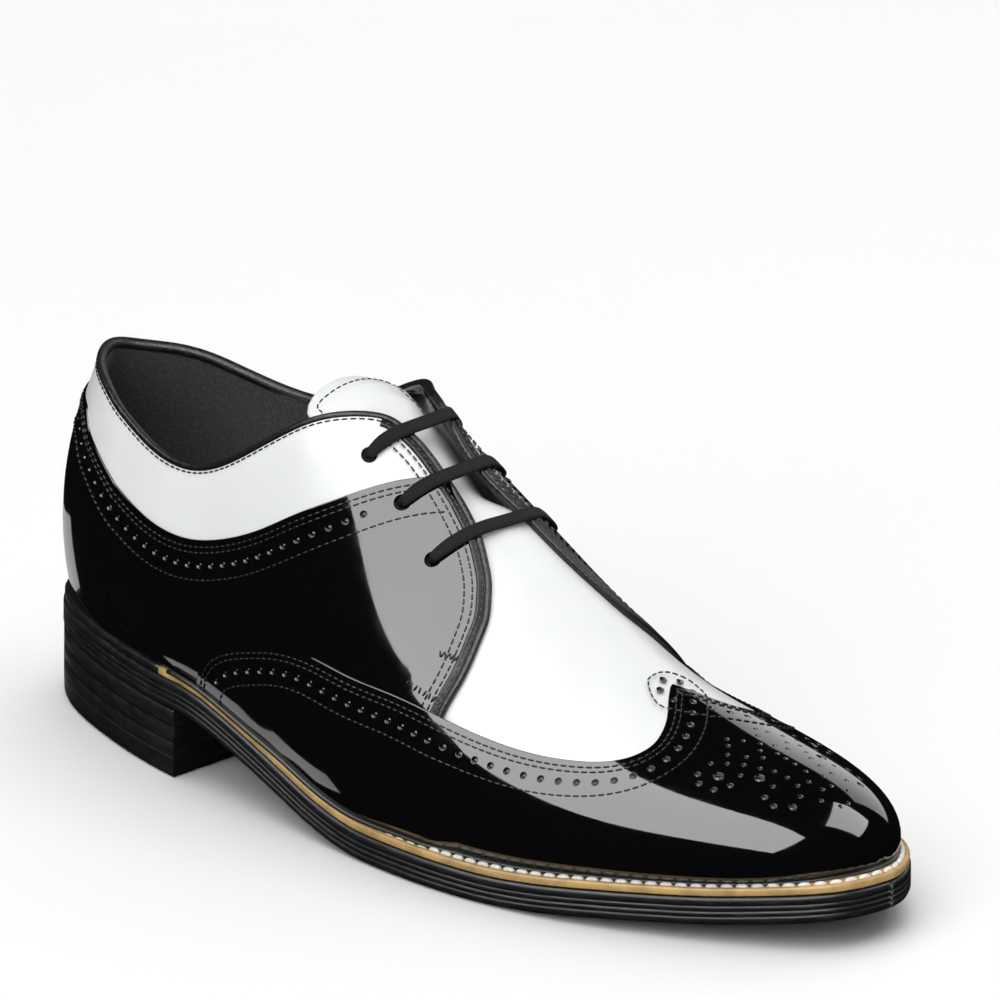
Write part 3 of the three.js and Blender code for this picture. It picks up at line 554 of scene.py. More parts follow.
def quarter_level(p, t):
    return QUARTER_RISE + wrinkled(QUARTERS, p, t)


def foxing_level(p, t):
    return FOXING_RISE + wrinkled(QUARTERS, p, t)


def cap_level(p, t):
    """The cap climbs over the foxing behind the facing and lies on the bare vamp before it."""
    along = 100 * x_at(np.clip(p, 0, 1)) / SHOE_LENGTH
    along = along - np.where(np.asarray(t) > 1, 5.0, 0.0) * (1 - smooth(0.7, 1.0, np.minimum(t, 2 - np.asarray(t))))
    step = CAP_RISE_OVER_FOXING + (CAP_RISE - CAP_RISE_OVER_FOXING) * smooth(60.5, 64.5, along)
    return step + wrinkled(FOREPART, p, t)


# Meshes


def make_piece(name, points, faces, material, normals=None, uv=None, bands=None, others=()):
    """A mesh object from points in table millimetres, with smooth faces."""
    mesh = bpy.data.meshes.new(name)
    mesh.from_pydata([tuple(p) for p in place(points)], [], [tuple(int(i) for i in f) for f in faces])
    mesh.materials.append(material)
    for other in others:
        mesh.materials.append(other)
    mesh.polygons.foreach_set("use_smooth", [True] * len(mesh.polygons))
    if bands is not None:
        mesh.polygons.foreach_set("material_index", [int(b) for b in bands])
    if uv is not None:
        layer = mesh.uv_layers.new(name="run")
        loops = np.array([loop.vertex_index for loop in mesh.loops])
        layer.data.foreach_set("uv", np.asarray(uv, float)[loops].ravel())
    if normals is not None:
        mesh.normals_split_custom_set_from_vertices([tuple(n) for n in normals])
    mesh.update()
    piece = bpy.data.objects.new(name, mesh)
    bpy.context.scene.collection.objects.link(piece)
    return piece


def settle(piece, slot, *nodes):
    """The piece rides on the shoe and stands for its solids, which it hides; slot is not used."""
    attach(piece, "root")
    if nodes:
        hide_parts(*nodes)
    return piece


def inside(points, loop):
    """Which flat points lie inside a closed loop."""
    x, y = points[:, 0][:, None], points[:, 1][:, None]
    x0, y0 = loop[:, 0][None], loop[:, 1][None]
    x1, y1 = np.roll(loop[:, 0], -1)[None], np.roll(loop[:, 1], -1)[None]
    crosses = (y0 > y) != (y1 > y)
    with np.errstate(divide="ignore", invalid="ignore"):
        hit = x < (x1 - x0) * (y - y0) / (y1 - y0) + x0
    return (crosses & hit).sum(1) % 2 == 1


def nearest(points, targets):
    """Distance from each point to the nearest target."""
    result = np.full(len(points), 1e9)
    for start in range(0, len(points), 1500):
        part = points[start:start + 1500]
        gaps = np.linalg.norm(part[:, None] - targets[None], axis=2)
        result[start:start + 1500] = gaps.min(1)
    return result


HOLE_MARGIN = 0.7
EDGE_ROLL = ((0.22, 0.1, 0.6), (0.36, 0.36, 2.0))
HOLE_ROLL = ((0.1, 0.08, 0.8), (0.16, 0.5, 3.0))


class Leather:
    """A panel cut from the chart: its mesh grows ring by ring from a flat triangulation."""

    def __init__(self, chart, edge, level, spacing=2.2, edge_spacing=1.1):
        self.chart = chart
        self.level = level
        self.spacing = spacing
        self.edge = even(edge, chart, edge_spacing, closed=True)
        if self.area(chart.flat(self.edge)) < 0:
            self.edge = self.edge[::-1]
        self.holes = []

    @staticmethod
    def area(flat):
        x, y = flat[:, 0], flat[:, 1]
        return (x * np.roll(y, -1) - y * np.roll(x, -1)).sum() / 2

    def punch(self, spots, radius, dish=True, count=14):
        for spot in spots:
            centre = self.chart.point(*spot)
            gaps = [np.linalg.norm(self.chart.point(*other) - centre) - reach for other, reach, _, _ in self.holes]
            if gaps and min(gaps) < radius + HOLE_MARGIN:
                continue
            loop = self.chart.circle(spot, radius, count)
            if self.area(self.chart.flat(loop)) > 0:
                loop = loop[::-1]
            self.holes.append((np.asarray(spot, float), radius, loop, dish))

    def grid(self):
        """Places inside the panel, on a grid of close rows."""
        flat_edge = self.chart.flat(self.edge)
        low, high = flat_edge.min(0), flat_edge.max(0)
        rows = []
        for j, y in enumerate(np.arange(low[1], high[1], self.spacing * 0.87)):
            shift = self.spacing / 2 * (j % 2)
            x = np.arange(low[0] + shift, high[0], self.spacing)
            rows.append(np.stack([x, np.full_like(x, y)], -1))
        spots = np.concatenate(rows)
        spots = spots[inside(spots, flat_edge)]
        spots = spots[nearest(spots, flat_edge) > self.spacing * 0.55]
        if self.holes:
            rims = np.concatenate([self.chart.flat(loop) for _, _, loop, _ in self.holes])
            centres = self.chart.flat(np.array([spot for spot, _, _, _ in self.holes]))
            reach = max(radius for _, radius, _, _ in self.holes)
            far = nearest(spots, rims) > self.spacing * 0.4
            spots = spots[far & (nearest(spots, centres) > reach * 1.1)]
        return self.chart.unflat(spots)

    def build(self, name, material, depth=1.2, others=(), rolled=True):
        chart = self.chart
        loops = [self.edge] + [loop for _, _, loop, _ in self.holes]
        spots = np.concatenate(loops + [self.grid()])
        edges = []
        starts = []
        start = 0
        owner = np.full(len(spots), -1)
        for index, loop in enumerate(loops):
            starts.append(start)
            ids = np.arange(start, start + len(loop))
            owner[ids] = index
            edges += [(int(a), int(b)) for a, b in zip(ids, np.roll(ids, -1))]
            start += len(loop)
        flat = chart.flat(spots)
        corners, _, faces, origin, _, _ = delaunay_2d_cdt([Vector(xy) for xy in flat], edges, [], 0, 1e-5)
        added = [tuple(corner) for corner, ids in zip(corners, origin) if not ids]
        fresh = iter(range(len(spots), len(spots) + len(added)))
        source = np.array([ids[0] if ids else next(fresh) for ids in origin])
        if added:
            spots = np.concatenate([spots, chart.unflat(np.array(added))])
            owner = np.append(owner, np.full(len(added), -1))
            flat = chart.flat(spots)
        triangles = source[np.array([list(face) for face in faces if len(face) == 3])]
        same = (owner[triangles][:, 0] == owner[triangles][:, 1]) & (owner[triangles][:, 1] == owner[triangles][:, 2])
        keep = inside(flat[triangles].mean(1), chart.flat(self.edge)) & ~(same & (owner[triangles][:, 0] > 0))
        triangles = triangles[keep]
        if chart.hand < 0:
            triangles = triangles[:, ::-1]
        points = [chart.raised(spots[:, 0], spots[:, 1], self.level)]
        normals = [chart.raised_normal(spots[:, 0], spots[:, 1], self.level)]
        all_faces = [tuple(t) for t in triangles]
        bands = [0] * len(all_faces)
        total = len(spots)
        for index, loop in enumerate(loops):
            ids = np.arange(starts[index], starts[index] + len(loop))
            top, up = points[0][ids], normals[0][ids]
            way = unit(np.roll(top, -1, 0) - np.roll(top, 1, 0))
            out = unit(np.cross(way, up) * chart.hand)
            roll = EDGE_ROLL if index == 0 else HOLE_ROLL
            rings = [(shift, drop, unit(up + out * tilt)) for shift, drop, tilt in (roll if rolled or index else ())]
            if index == 0:
                rings.append((roll[-1][0] if rolled else 0, depth, out))
            previous = ids
            for shift, drop, normal in rings:
                points.append(top + out * shift - up * drop)
                normals.append(normal)
                fresh = np.arange(total, total + len(loop))
                total += len(loop)
                for a, b, c, d in zip(previous, np.roll(previous, -1), np.roll(fresh, -1), fresh):
                    quad = (a, b, c, d)
                    all_faces.append(quad if chart.hand < 0 else quad[::-1])
                    bands.append(0)
                previous = fresh
            if index > 0 and self.holes[index - 1][3]:
                middle = points[-1].mean(0)
                up_middle = unit(up.mean(0))
                points.append(((points[-1] - middle) * 0.5 + middle) + up_middle * 0.12)
                normals.append(unit(up_middle + out * -0.9))
                ring = np.arange(total, total + len(loop))
                points.append((middle + up_middle * 0.2)[None])
                normals.append(up_middle[None])
                total += len(loop) + 1
                for a, b, c, d in zip(previous, np.roll(previous, -1), np.roll(ring, -1), ring):
                    quad = (a, b, c, d)
                    all_faces.append(quad if chart.hand < 0 else quad[::-1])
                for a, b in zip(ring, np.roll(ring, -1)):
                    tip = (a, b, total - 1)
                    all_faces.append(tip if chart.hand < 0 else tip[::-1])
                bands += [1 if others else 0] * (2 * len(loop))
        return make_piece(name, np.concatenate(points), all_faces, material, np.concatenate(normals),
                          bands=bands, others=others)


def outward(points, faces):
    """The faces of a closed mesh, turned over if they look inwards."""
    middle = points.mean(0)
    volume = 0.0
    for face in faces:
        corners = points[list(face)] - middle
        for k in range(1, len(face) - 1):
            volume += np.dot(corners[0], np.cross(corners[k], corners[k + 1]))
    return faces if volume > 0 else [tuple(face)[::-1] for face in faces]


def sweep(points, across, up, profile, closed_profile=True, caps=True, sizes=None):
    """A strip along points; profile rows are (across, up) and sizes may scale them along the way."""
    points = np.asarray(points, float)
    profile = np.asarray(profile, float)
    count, sides = len(points), len(profile)
    scale = np.ones((count, 2)) if sizes is None else np.asarray(sizes, float)
    rings = points[:, None] + across[:, None] * (profile[None, :, :1] * scale[:, None, :1])
    rings = rings + up[:, None] * (profile[None, :, 1:] * scale[:, None, 1:])
    faces = []
    span = sides if closed_profile else sides - 1
    for i in range(count - 1):
        for k in range(span):
            a = i * sides + k
            b = i * sides + (k + 1) % sides
            faces.append((a, b, b + sides, a + sides))
    if caps and closed_profile:
        faces.append(tuple(range(sides))[::-1])
        faces.append(tuple((count - 1) * sides + k for k in range(sides)))
    mesh_points = rings.reshape(-1, 3)
    return mesh_points, outward(mesh_points, faces)


STITCH_ENDS = ((-0.5, 0.0), (-0.46, 0.62), (-0.3, 0.95), (0.0, 1.0), (0.3, 0.95), (0.46, 0.62), (0.5, 0.0))


def stitch_mesh(points, ways, ups, length, radius, sink=0.35):
    """Many stitches as one mesh: each is a short rounded length of thread pulled down at its ends."""
    sides = 6
    angle = np.linspace(0, 2 * math.pi, sides, endpoint=False)
    across = unit(np.cross(ways, ups))
    rings = []
    for along, size in STITCH_ENDS:
        centre = points + ways * (along * length) - ups * (sink * radius * (2 * abs(along)) ** 3)
        round_part = across[:, None] * np.cos(angle)[None, :, None] + ups[:, None] * np.sin(angle)[None, :, None]
        rings.append(centre[:, None] + round_part * radius * max(size, 0.05))
    block = np.stack(rings, 1).reshape(len(points), -1, 3)
    one = []
    for ring in range(len(STITCH_ENDS) - 1):
        for k in range(sides):
            a = ring * sides + k
            b = ring * sides + (k + 1) % sides
            one.append((a, a + sides, b + sides, b))
    one = np.array(one)
    size = len(STITCH_ENDS) * sides
    faces = (one[None] + (np.arange(len(points)) * size)[:, None, None]).reshape(-1, 4)
    return block.reshape(-1, 3), faces


def row_stitches(chart, line, level, length, pitch, radius):
    """Stitches along a line on the chart: points, ways and ups."""
    fine = even(line, chart, pitch / 4)
    points = chart.raised(fine[:, 0], fine[:, 1], level)
    ways = unit(np.gradient(points, axis=0))
    run = np.append(0, np.cumsum(np.linalg.norm(np.diff(points, axis=0), axis=1)))
    steps = np.arange(pitch / 2, run[-1], pitch)
    pick = np.stack([np.interp(steps, run, points[:, k]) for k in range(3)], -1)
    way = unit(np.stack([np.interp(steps, run, ways[:, k]) for k in range(3)], -1))
    normals = chart.normal(fine[:, 0], fine[:, 1])
    up = unit(np.stack([np.interp(steps, run, normals[:, k]) for k in range(3)], -1))
    return pick + up * radius * 0.35, way, up


def sew(name, rows, length, radius, material):
    """One piece from many rows of stitches."""
    points, ways, ups = (np.concatenate([row[k] for row in rows]) for k in range(3))
    mesh_points, faces = stitch_mesh(points, ways, ups, length, radius)
    return make_piece(name, mesh_points, faces, material)


# Materials


class Finish:
    """A procedural material with its bump and colour variation."""

    def __init__(self, name, colour, roughness, coat=0.0, coat_roughness=0.03, sheen=0.0, specular=0.5):
        self.material = bpy.data.materials.new(name)
        self.material.use_nodes = True
        self.nodes = self.material.node_tree.nodes
        self.links = self.material.node_tree.links
        self.shader = self.nodes["Principled BSDF"]
        self.shader.inputs["Base Color"].default_value = (*colour, 1)
        self.shader.inputs["Roughness"].default_value = roughness
        self.shader.inputs["Coat Weight"].default_value = coat
        self.shader.inputs["Coat Roughness"].default_value = coat_roughness
        self.shader.inputs["Sheen Weight"].default_value = sheen
        self.shader.inputs["Specular IOR Level"].default_value = specular
        self.spots = self.nodes.new("ShaderNodeTexCoord")
        self.last_bump = None

    def noise(self, scale, detail=2.0, kind="noise", stretch=(1, 1, 1), uv=False):
        """A texture's value output; scale is in features per metre."""
        mapping = self.nodes.new("ShaderNodeMapping")
        mapping.inputs["Scale"].default_value = stretch
        self.links.new(self.spots.outputs["UV" if uv else "Object"], mapping.inputs["Vector"])
        if kind == "cells":
            texture = self.nodes.new("ShaderNodeTexVoronoi")
            output = texture.outputs["Distance"]
        else:
            texture = self.nodes.new("ShaderNodeTexNoise")
            texture.inputs["Detail"].default_value = detail
            output = texture.outputs["Fac"]
        texture.inputs["Scale"].default_value = scale
        self.links.new(mapping.outputs["Vector"], texture.inputs["Vector"])
        return output

    def ramp(self, value, low, high, first, second):
        """Two colours or grey values between two limits of a texture."""
        ramp = self.nodes.new("ShaderNodeValToRGB")
        ramp.color_ramp.elements[0].position = low
        ramp.color_ramp.elements[1].position = high
        ramp.color_ramp.elements[0].color = (*first, 1)
        ramp.color_ramp.elements[1].color = (*second, 1)
        self.links.new(value, ramp.inputs["Fac"])
        return ramp.outputs["Color"]

    def bump(self, value, height, strength=1.0):
        """A bump of a given height in millimetres; several stack up."""
        node = self.nodes.new("ShaderNodeBump")
        node.inputs["Distance"].default_value = height * MM
        node.inputs["Strength"].default_value = strength
        self.links.new(value, node.inputs["Height"])
        if self.last_bump is not None:
            self.links.new(self.last_bump, node.inputs["Normal"])
        self.last_bump = node.outputs["Normal"]
        self.links.new(self.last_bump, self.shader.inputs["Normal"])
        return self

    def bump_coat(self):
        """The clear coat follows the bump too."""
        self.links.new(self.last_bump, self.shader.inputs["Coat Normal"])
        return self

    def colour(self, output):
        self.links.new(output, self.shader.inputs["Base Color"])
        return self

    def rough(self, value, low, high, least, most):
        self.links.new(self.ramp(value, low, high, (least,) * 3, (most,) * 3), self.shader.inputs["Roughness"])
        return self


def patent_finish(colour):
    finish = Finish("patent_leather", colour, 0.07, coat=1.0, coat_roughness=0.02)
    finish.bump(finish.noise(420, 2), 0.012, 0.25)
    finish.bump(finish.noise(45, 1), 0.25, 0.12).bump_coat()
    finish.rough(finish.noise(160, 3), 0.35, 0.7, 0.05, 0.1)
    return finish.material


def white_finish(colour):
    finish = Finish("white_leather", colour, 0.36, coat=0.25, coat_roughness=0.2)
    tone = tuple(c * 0.955 for c in colour)
    finish.colour(finish.ramp(finish.noise(38, 3), 0.3, 0.7, colour, tone))
    finish.bump(finish.noise(1500, 2, kind="cells"), 0.05, 0.35)
    finish.bump(finish.noise(240, 4), 0.06, 0.3)
    finish.rough(finish.noise(120, 3), 0.3, 0.7, 0.31, 0.42)
    return finish.material


def binding_finish(colour):
    finish = Finish("binding_leather", colour, 0.42, coat=0.15, coat_roughness=0.25)
    finish.bump(finish.noise(1300, 3, kind="cells"), 0.12, 0.8)
    finish.bump(finish.noise(300, 3), 0.1, 0.5)
    finish.rough(finish.noise(500, 3), 0.3, 0.7, 0.3, 0.55)
    return finish.material


def lining_finish(colour):
    finish = Finish("lining_cloth", colour, 0.92, sheen=0.35)
    light = tuple(min(1, c * 3.4 + 0.01) for c in colour)
    finish.colour(finish.ramp(finish.noise(1500, 4), 0.48, 0.72, colour, light))
    finish.bump(finish.noise(2600, 3), 0.12, 0.9)
    finish.bump(finish.noise(500, 3), 0.15, 0.6)
    return finish.material


def edge_finish(colour):
    finish = Finish("sole_edge", colour, 0.4, coat=0.12, coat_roughness=0.3)
    light = tuple(c * 2.2 + 0.004 for c in colour)
    finish.colour(finish.ramp(finish.noise(140, 4, stretch=(1, 1, 9)), 0.45, 0.75, colour, light))
    finish.bump(finish.noise(180, 4, stretch=(1, 1, 11)), 0.1, 0.7)
    finish.bump(finish.noise(1600, 2), 0.03, 0.5)
    finish.rough(finish.noise(300, 3), 0.3, 0.75, 0.3, 0.52)
    return finish.material


def welt_finish(colour):
    finish = Finish("golden_welt", colour, 0.45, coat=0.2, coat_roughness=0.25)
    dark = tuple(c * 0.62 for c in colour)
    finish.colour(finish.ramp(finish.noise(160, 5), 0.36, 0.66, dark, colour))
    finish.bump(finish.noise(900, 3), 0.07, 0.7)
    finish.rough(finish.noise(260, 3), 0.3, 0.7, 0.35, 0.6)
    return finish.material


def thread_finish(name, colour, roughness):
    finish = Finish(name, colour, roughness, coat=0.1, coat_roughness=0.3)
    finish.bump(finish.noise(2400, 2, stretch=(1, 1, 1.6)), 0.09, 0.7)
    tone = tuple(c * 0.8 for c in colour)
    finish.colour(finish.ramp(finish.noise(700, 2), 0.35, 0.65, tone, colour))
    return finish.material


def braid_finish(colour, lace_width):
    """Flat braid: two diagonal sets of ribs across the lace's own run, with a painted highlight on the rib crests."""
    finish = Finish("lace_braid", colour, 0.62, sheen=0.02, specular=0.16)
    heights = []
    for slope in (1, -1):
        mapping = finish.nodes.new("ShaderNodeMapping")
        mapping.inputs["Rotation"].default_value = (0, 0, slope * math.radians(38))
        finish.links.new(finish.spots.outputs["UV"], mapping.inputs["Vector"])
        wave = finish.nodes.new("ShaderNodeTexWave")
        wave.bands_direction = "X"
        wave.inputs["Scale"].default_value = 0.62
        wave.inputs["Distortion"].default_value = 0.6
        wave.inputs["Detail"].default_value = 1.0
        finish.links.new(mapping.outputs["Vector"], wave.inputs["Vector"])
        heights.append(wave.outputs["Fac"])
    mix = finish.nodes.new("ShaderNodeMath")
    mix.operation = "MAXIMUM"
    finish.links.new(heights[0], mix.inputs[0])
    finish.links.new(heights[1], mix.inputs[1])
    # Painted highlight: the black braid's colour is lighter on the rib crests, where the bump is highest.
    light = tuple(c * 2 + 0.006 for c in colour)
    finish.colour(finish.ramp(mix.outputs[0], 0.55, 1.0, colour, light))
    finish.bump(mix.outputs[0], lace_width / MM * 0.05, 0.9)
    finish.bump(finish.noise(2600, 2), 0.05, 0.6)
    return finish.material


def floor_finish(colour):
    finish = Finish("studio_floor", colour, 0.75)
    finish.colour(finish.ramp(finish.noise(3, 2), 0.3, 0.7, colour, tuple(c * 0.985 for c in colour)))
    return finish.material


MATERIALS = {}


def materials():
    """All finishes, made once."""
    if not MATERIALS:
        look = bpy.context.scene.shoe_colours
        sizes = bpy.context.scene.shoe_sizes
        MATERIALS.update(
            patent=patent_finish(look.patent),
            white=white_finish(look.white_leather),
            binding=binding_finish(look.binding),
            lining=lining_finish(look.lining),
            edge=edge_finish(look.sole_edge),
            welt=welt_finish(look.welt),
            pale_thread=thread_finish("welt_thread", look.welt_thread, 0.6),
            dark_thread=thread_finish("black_thread", look.black_thread, 0.22),
            braid=braid_finish(look.lace, sizes.lace_width),
            lip=thread_finish("welt_lip", look.welt_lip, 0.35),
        )
    return MATERIALS


# Sole, heel, welt


SOLE_EDGE = table(("inset", "share"), (
    (2.2, -0.01), (1.1, 0.0), (0.35, 0.06), (0, 0.16), (0, 0.27), (0.28, 0.29), (0.28, 0.31), (0, 0.33), (0, 0.46),
    (0.34, 0.48), (0.34, 0.51), (0, 0.53), (0, 0.66), (0.28, 0.68), (0.28, 0.7), (0, 0.72), (0.05, 0.88),
    (0.5, 0.97), (1.4, 1.0),
))


def ring_stack(rings):
    """Walls between closed rings, with both ends filled by strips across."""
    count = len(rings[0])
    faces = []
    for level in range(len(rings) - 1):
        for k in range(count):
            a = level * count + k
            b = level * count + (k + 1) % count
            faces.append((a, b, b + count, a + count))
    half = count // 2
    top = (len(rings) - 1) * count
    for k in range(half - 1):
        a, b = k, k + 1
        c, d = (count - 1 - k - 1) % count, (count - 1 - k) % count
        faces.append((a, d, c, b))
        faces.append((top + a, top + b, top + c, top + d))
    return np.concatenate(rings), faces


def outline_ring(inset, steps, last=math.pi):
    """A closed ring of the outline with as many points on each side."""
    turns = np.linspace(0, last, steps)
    outer = outline(turns, -1, inset)
    inner = outline(turns[::-1], 1, inset)
    return np.concatenate([outer, inner])


def build_sole():
    rings = []
    for inset, share in zip(SOLE_EDGE["inset"], SOLE_EDGE["share"]):
        ring = outline_ring(inset, 160)
        rings.append(np.column_stack([ring, tread_height(ring[:, 0]) + max(0, share) * SOLE_THICKNESS]))
    points, faces = ring_stack(rings)
    return settle(make_piece("outsole_leather", points, faces, materials()["edge"]), "sole_edge", "outsole")


HEEL_RINGS = table(("inset", "height"), (
    (2.4, 0), (0.9, 0.0), (0.5, 0.35), (0.3, 1.0), (0.22, 5.6), (0.5, 5.8), (0.5, 6.1), (0.2, 6.3), (0.2, 9.9),
    (0.36, 10.05), (0.2, 10.2), (0.2, 14.3), (0.36, 14.45), (0.2, 14.6), (0.2, 18.9), (0.6, 19.3),
))


def build_heel():
    last = math.acos(1 - 2 * HEEL_LENGTH / SHOE_LENGTH)
    rings = []
    for inset, height in zip(HEEL_RINGS["inset"], HEEL_RINGS["height"]):
        ring = outline_ring(inset, 90, last)
        straight = HEEL_LENGTH - max(0, inset - 0.25)
        ring[89, 0] = ring[90, 0] = straight
        rings.append(np.column_stack([ring, np.full(len(ring), height)]))
    points, faces = ring_stack(rings)
    piece = make_piece("heel_stack", points, faces, materials()["edge"])
    bevel = piece.modifiers.new("corners", "EDGE_SPLIT")
    bevel.split_angle = math.radians(50)
    return settle(piece, "sole_edge", "heel")


def strip_frames(inset, start, height):
    """Points along the outline with the way across it, for strips that lie on the sole."""
    loop = outline_loop(inset, start, 170)
    points = np.column_stack([loop, height(loop[:, 0])])
    ways = unit(np.gradient(points, axis=0))
    up = np.tile([0.0, 0, 1], (len(points), 1))
    return points, ways, up, unit(np.cross(up, ways))


WELT_PROFILE = (
    (-0.3, 0.0), (0.0, 0.35), (0.05, 1.5), (-0.25, 2.05), (-0.8, 2.25), (-1.6, 2.12), (-3.2, 2.1), (-9.0, 2.2),
    (-9.0, 0.0),
)


def build_welt(sizes):
    points, ways, up, left = strip_frames(WELT_INSET, WELT_START, welt_base)
    mesh_points, faces = sweep(points, -left, up, WELT_PROFILE)
    welt = make_piece("welt_strip", mesh_points, faces, materials()["welt"])
    settle(welt, "golden_welt", "welt")
    pitch = sizes.welt_pitch / MM
    line, _, _, _ = strip_frames(WELT_INSET + 2.0, WELT_START + 2, lambda x: welt_base(x) + WELT_THICKNESS)
    run = np.append(0, np.cumsum(np.linalg.norm(np.diff(line, axis=0), axis=1)))
    steps = np.arange(pitch / 2, run[-1], pitch)
    spots = np.stack([np.interp(steps, run, line[:, k]) for k in range(3)], -1)
    way = unit(np.gradient(spots, axis=0))
    ups = unit(np.cross(np.cross(way, [0, 0, 1]), way))
    mesh_points, faces = stitch_mesh(spots + ups * 0.1, way, ups, pitch * 0.86, sizes.welt_thread / MM / 2)
    stitches = make_piece("welt_stitches", mesh_points, faces, materials()["pale_thread"])
    settle(stitches, "white_leather")


def build_rand():
    """Black strip under the heel seat, from the welt's end round the back."""
    last = math.acos(1 - 2 * WELT_START / SHOE_LENGTH)
    turns = np.linspace(last, 0, 60)
    loop = np.concatenate([outline(turns, -1, WELT_INSET), outline(turns[::-1], 1, WELT_INSET)[1:]])
    points = np.column_stack([loop, welt_base(loop[:, 0])])
    ways = unit(np.gradient(points, axis=0))
    up = np.tile([0.0, 0, 1], (len(points), 1))
    across = unit(np.cross(up, ways))
    mesh_points, faces = sweep(points, across, up, WELT_PROFILE)
    rand = make_piece("heel_rand_strip", mesh_points, faces, materials()["edge"])
    settle(rand, "sole_edge", "heel_rand")


LIP_PROFILE = [(0.95 * math.cos(a), 0.75 * math.sin(a) + 0.25) for a in np.linspace(0, 2 * math.pi, 11)[:-1]]


def feather_path(level, start):
    """The feather line over the welt, from the outer waist round the toe to the inner waist."""
    first = float(station_at(start))
    p = np.linspace(first, 0.9985, 150)
    outer = FOREPART.raised(p, np.zeros_like(p), level)
    inner = FOREPART.raised(p[::-1], np.full_like(p, 2.0), level)
    return np.concatenate([outer, inner])


def build_lip():
    """The welt's raised lip against the upper."""
    path = feather_path(lambda p, t: cap_level(p, t) + 0.35, WELT_START + 6)
    path[:, 2] = welt_base(path[:, 0]) + WELT_THICKNESS + 0.15
    ways = unit(np.gradient(path, axis=0))
    up = np.tile([0.0, 0, 1], (len(path), 1))
    mesh_points, faces = sweep(path, unit(np.cross(ways, up)), up, LIP_PROFILE)
    lip = make_piece("welt_lip", mesh_points, faces, materials()["lip"])
    settle(lip, "sole_edge")


def build_insole():
    stations = np.concatenate([np.linspace(-1, 0, 50)[:-1], np.linspace(0, 0.998, 120)])
    clear = LINING_DEPTH + 2 * SEAT_GAP
    sides = []
    for side in (-1, 1):
        p = side * (stations + 1)
        point = QUARTERS.point(p, np.zeros_like(p))
        normal = QUARTERS.normal(p, np.zeros_like(p))
        sides.append(point - normal * clear)
    shares = np.linspace(0, 1, 25)
    rows = []
    for share in shares:
        row = sides[0] * (1 - share) + sides[1] * share
        crown = 0.9 * (2 * share - 1) ** 4
        row[:, 2] = feather_height(row[:, 0]) + INSOLE_THICKNESS + crown - 0.3
        rows.append(row)
    top = np.stack(rows)
    low = top.copy()
    low[:, :, 2] = feather_height(low[:, :, 0]) + SEAT_GAP
    count = len(stations)
    faces = []
    for j in range(len(shares) - 1):
        for i in range(count - 1):
            a = j * count + i
            faces.append((a, a + 1, a + count + 1, a + count))
            b = a + len(shares) * count
            faces.append((b, b + count, b + count + 1, b + 1))
    base = len(shares) * count
    for i in range(count - 1):
        faces.append((i, base + i, base + i + 1, i + 1))
        far = (len(shares) - 1) * count + i
        faces.append((far, far + 1, base + far + 1, base + far))
    points = np.concatenate([top.reshape(-1, 3), low.reshape(-1, 3)])
    settle(make_piece("insole_sock", points, faces, materials()["lining"]), "lining", "insole")


# Upper


def vamp_edge():
    """Outline of the vamp where it shows, with what runs under its neighbours."""
    low = 0.34
    v = np.linspace(low, 1, 60)
    back = np.interp(v, (0.34, 0.45, 0.6, 0.68, 1), (47, 50, 52, 56, 55.2))
    front = np.interp(v, CAP_BACK["v"], CAP_BACK["along"]) + 3
    outer_back = np.stack([station_of(back), v], -1)
    inner_back = np.stack([station_of(back), 2 - v], -1)[::-1]
    outer_front = np.stack([station_of(front), v], -1)
    inner_front = np.stack([station_of(front), 2 - v], -1)[::-1]
    return np.concatenate([outer_back, inner_back[1:], inner_front[::-1], outer_front[::-1][1:]])


def build_vamp():
    panel = Leather(FOREPART, vamp_edge(), vamp_level, spacing=2.6, edge_spacing=1.6)
    settle(panel.build("vamp_leather", materials()["white"], depth=1.0), "white_leather", "upper")


def quarter_edge():
    """Outline of the white quarters: facings, topline and the edge that runs under the foxing."""
    under = 0.04
    outer = facing_line(-1, 0.845, FACING_TOP[-1])
    inner = facing_line(1, 0.935, FACING_TOP[1])
    p = np.linspace(outer[-1, 0], inner[-1, 0], 240)
    rim = np.stack([p, topline(p)], -1)
    lower_inner, lower_outer = foxing_line(1), foxing_line(-1)
    lower_outer[:, 1] = np.minimum(lower_outer[:, 1], 0.915)
    lower = np.concatenate([lower_inner[::-1], lower_outer[1:]])
    lower[:, 1] -= under
    return np.concatenate([outer, rim[1:-1], inner[::-1], lower[1:-1]])


def build_quarters():
    panel = Leather(QUARTERS, quarter_edge(), quarter_level, spacing=2.4)
    for side in (-1, 1):
        rows = EYELETS[side]
        panel.punch([quarter_spot(side, rows["along"][2], rows["v"][2])], EYELET_BORE / 2, dish=False, count=24)
    settle(panel.build("quarter_leather", materials()["white"], rolled=False), "white_leather", "upper")


def foxing_edge():
    bottom = np.stack([np.linspace(facing_line(-1, 0, 1)[0, 0], facing_line(1, 0, 1)[0, 0], 300), np.zeros(300)], -1)
    inner = facing_line(1, 0, FOXING_END[1])
    outer = facing_line(-1, 0, FOXING_END[-1])
    top = np.concatenate([foxing_line(1)[::-1], foxing_line(-1)[1:]])
    return np.concatenate([bottom, inner[1:], top, outer[::-1][:-1]])


def spaced(chart, line, pitch, margin=0.0):
    """Places along a line on the chart at an even pitch."""
    fine = even(line, chart, 0.5)
    points = chart.point(fine[:, 0], fine[:, 1])
    run = np.append(0, np.cumsum(np.linalg.norm(np.diff(points, axis=0), axis=1)))
    count = max(2, int(round((run[-1] - 2 * margin) / pitch)) + 1)
    steps = np.linspace(margin, run[-1] - margin, count)
    return np.stack([np.interp(steps, run, fine[:, axis]) for axis in (0, 1)], -1)


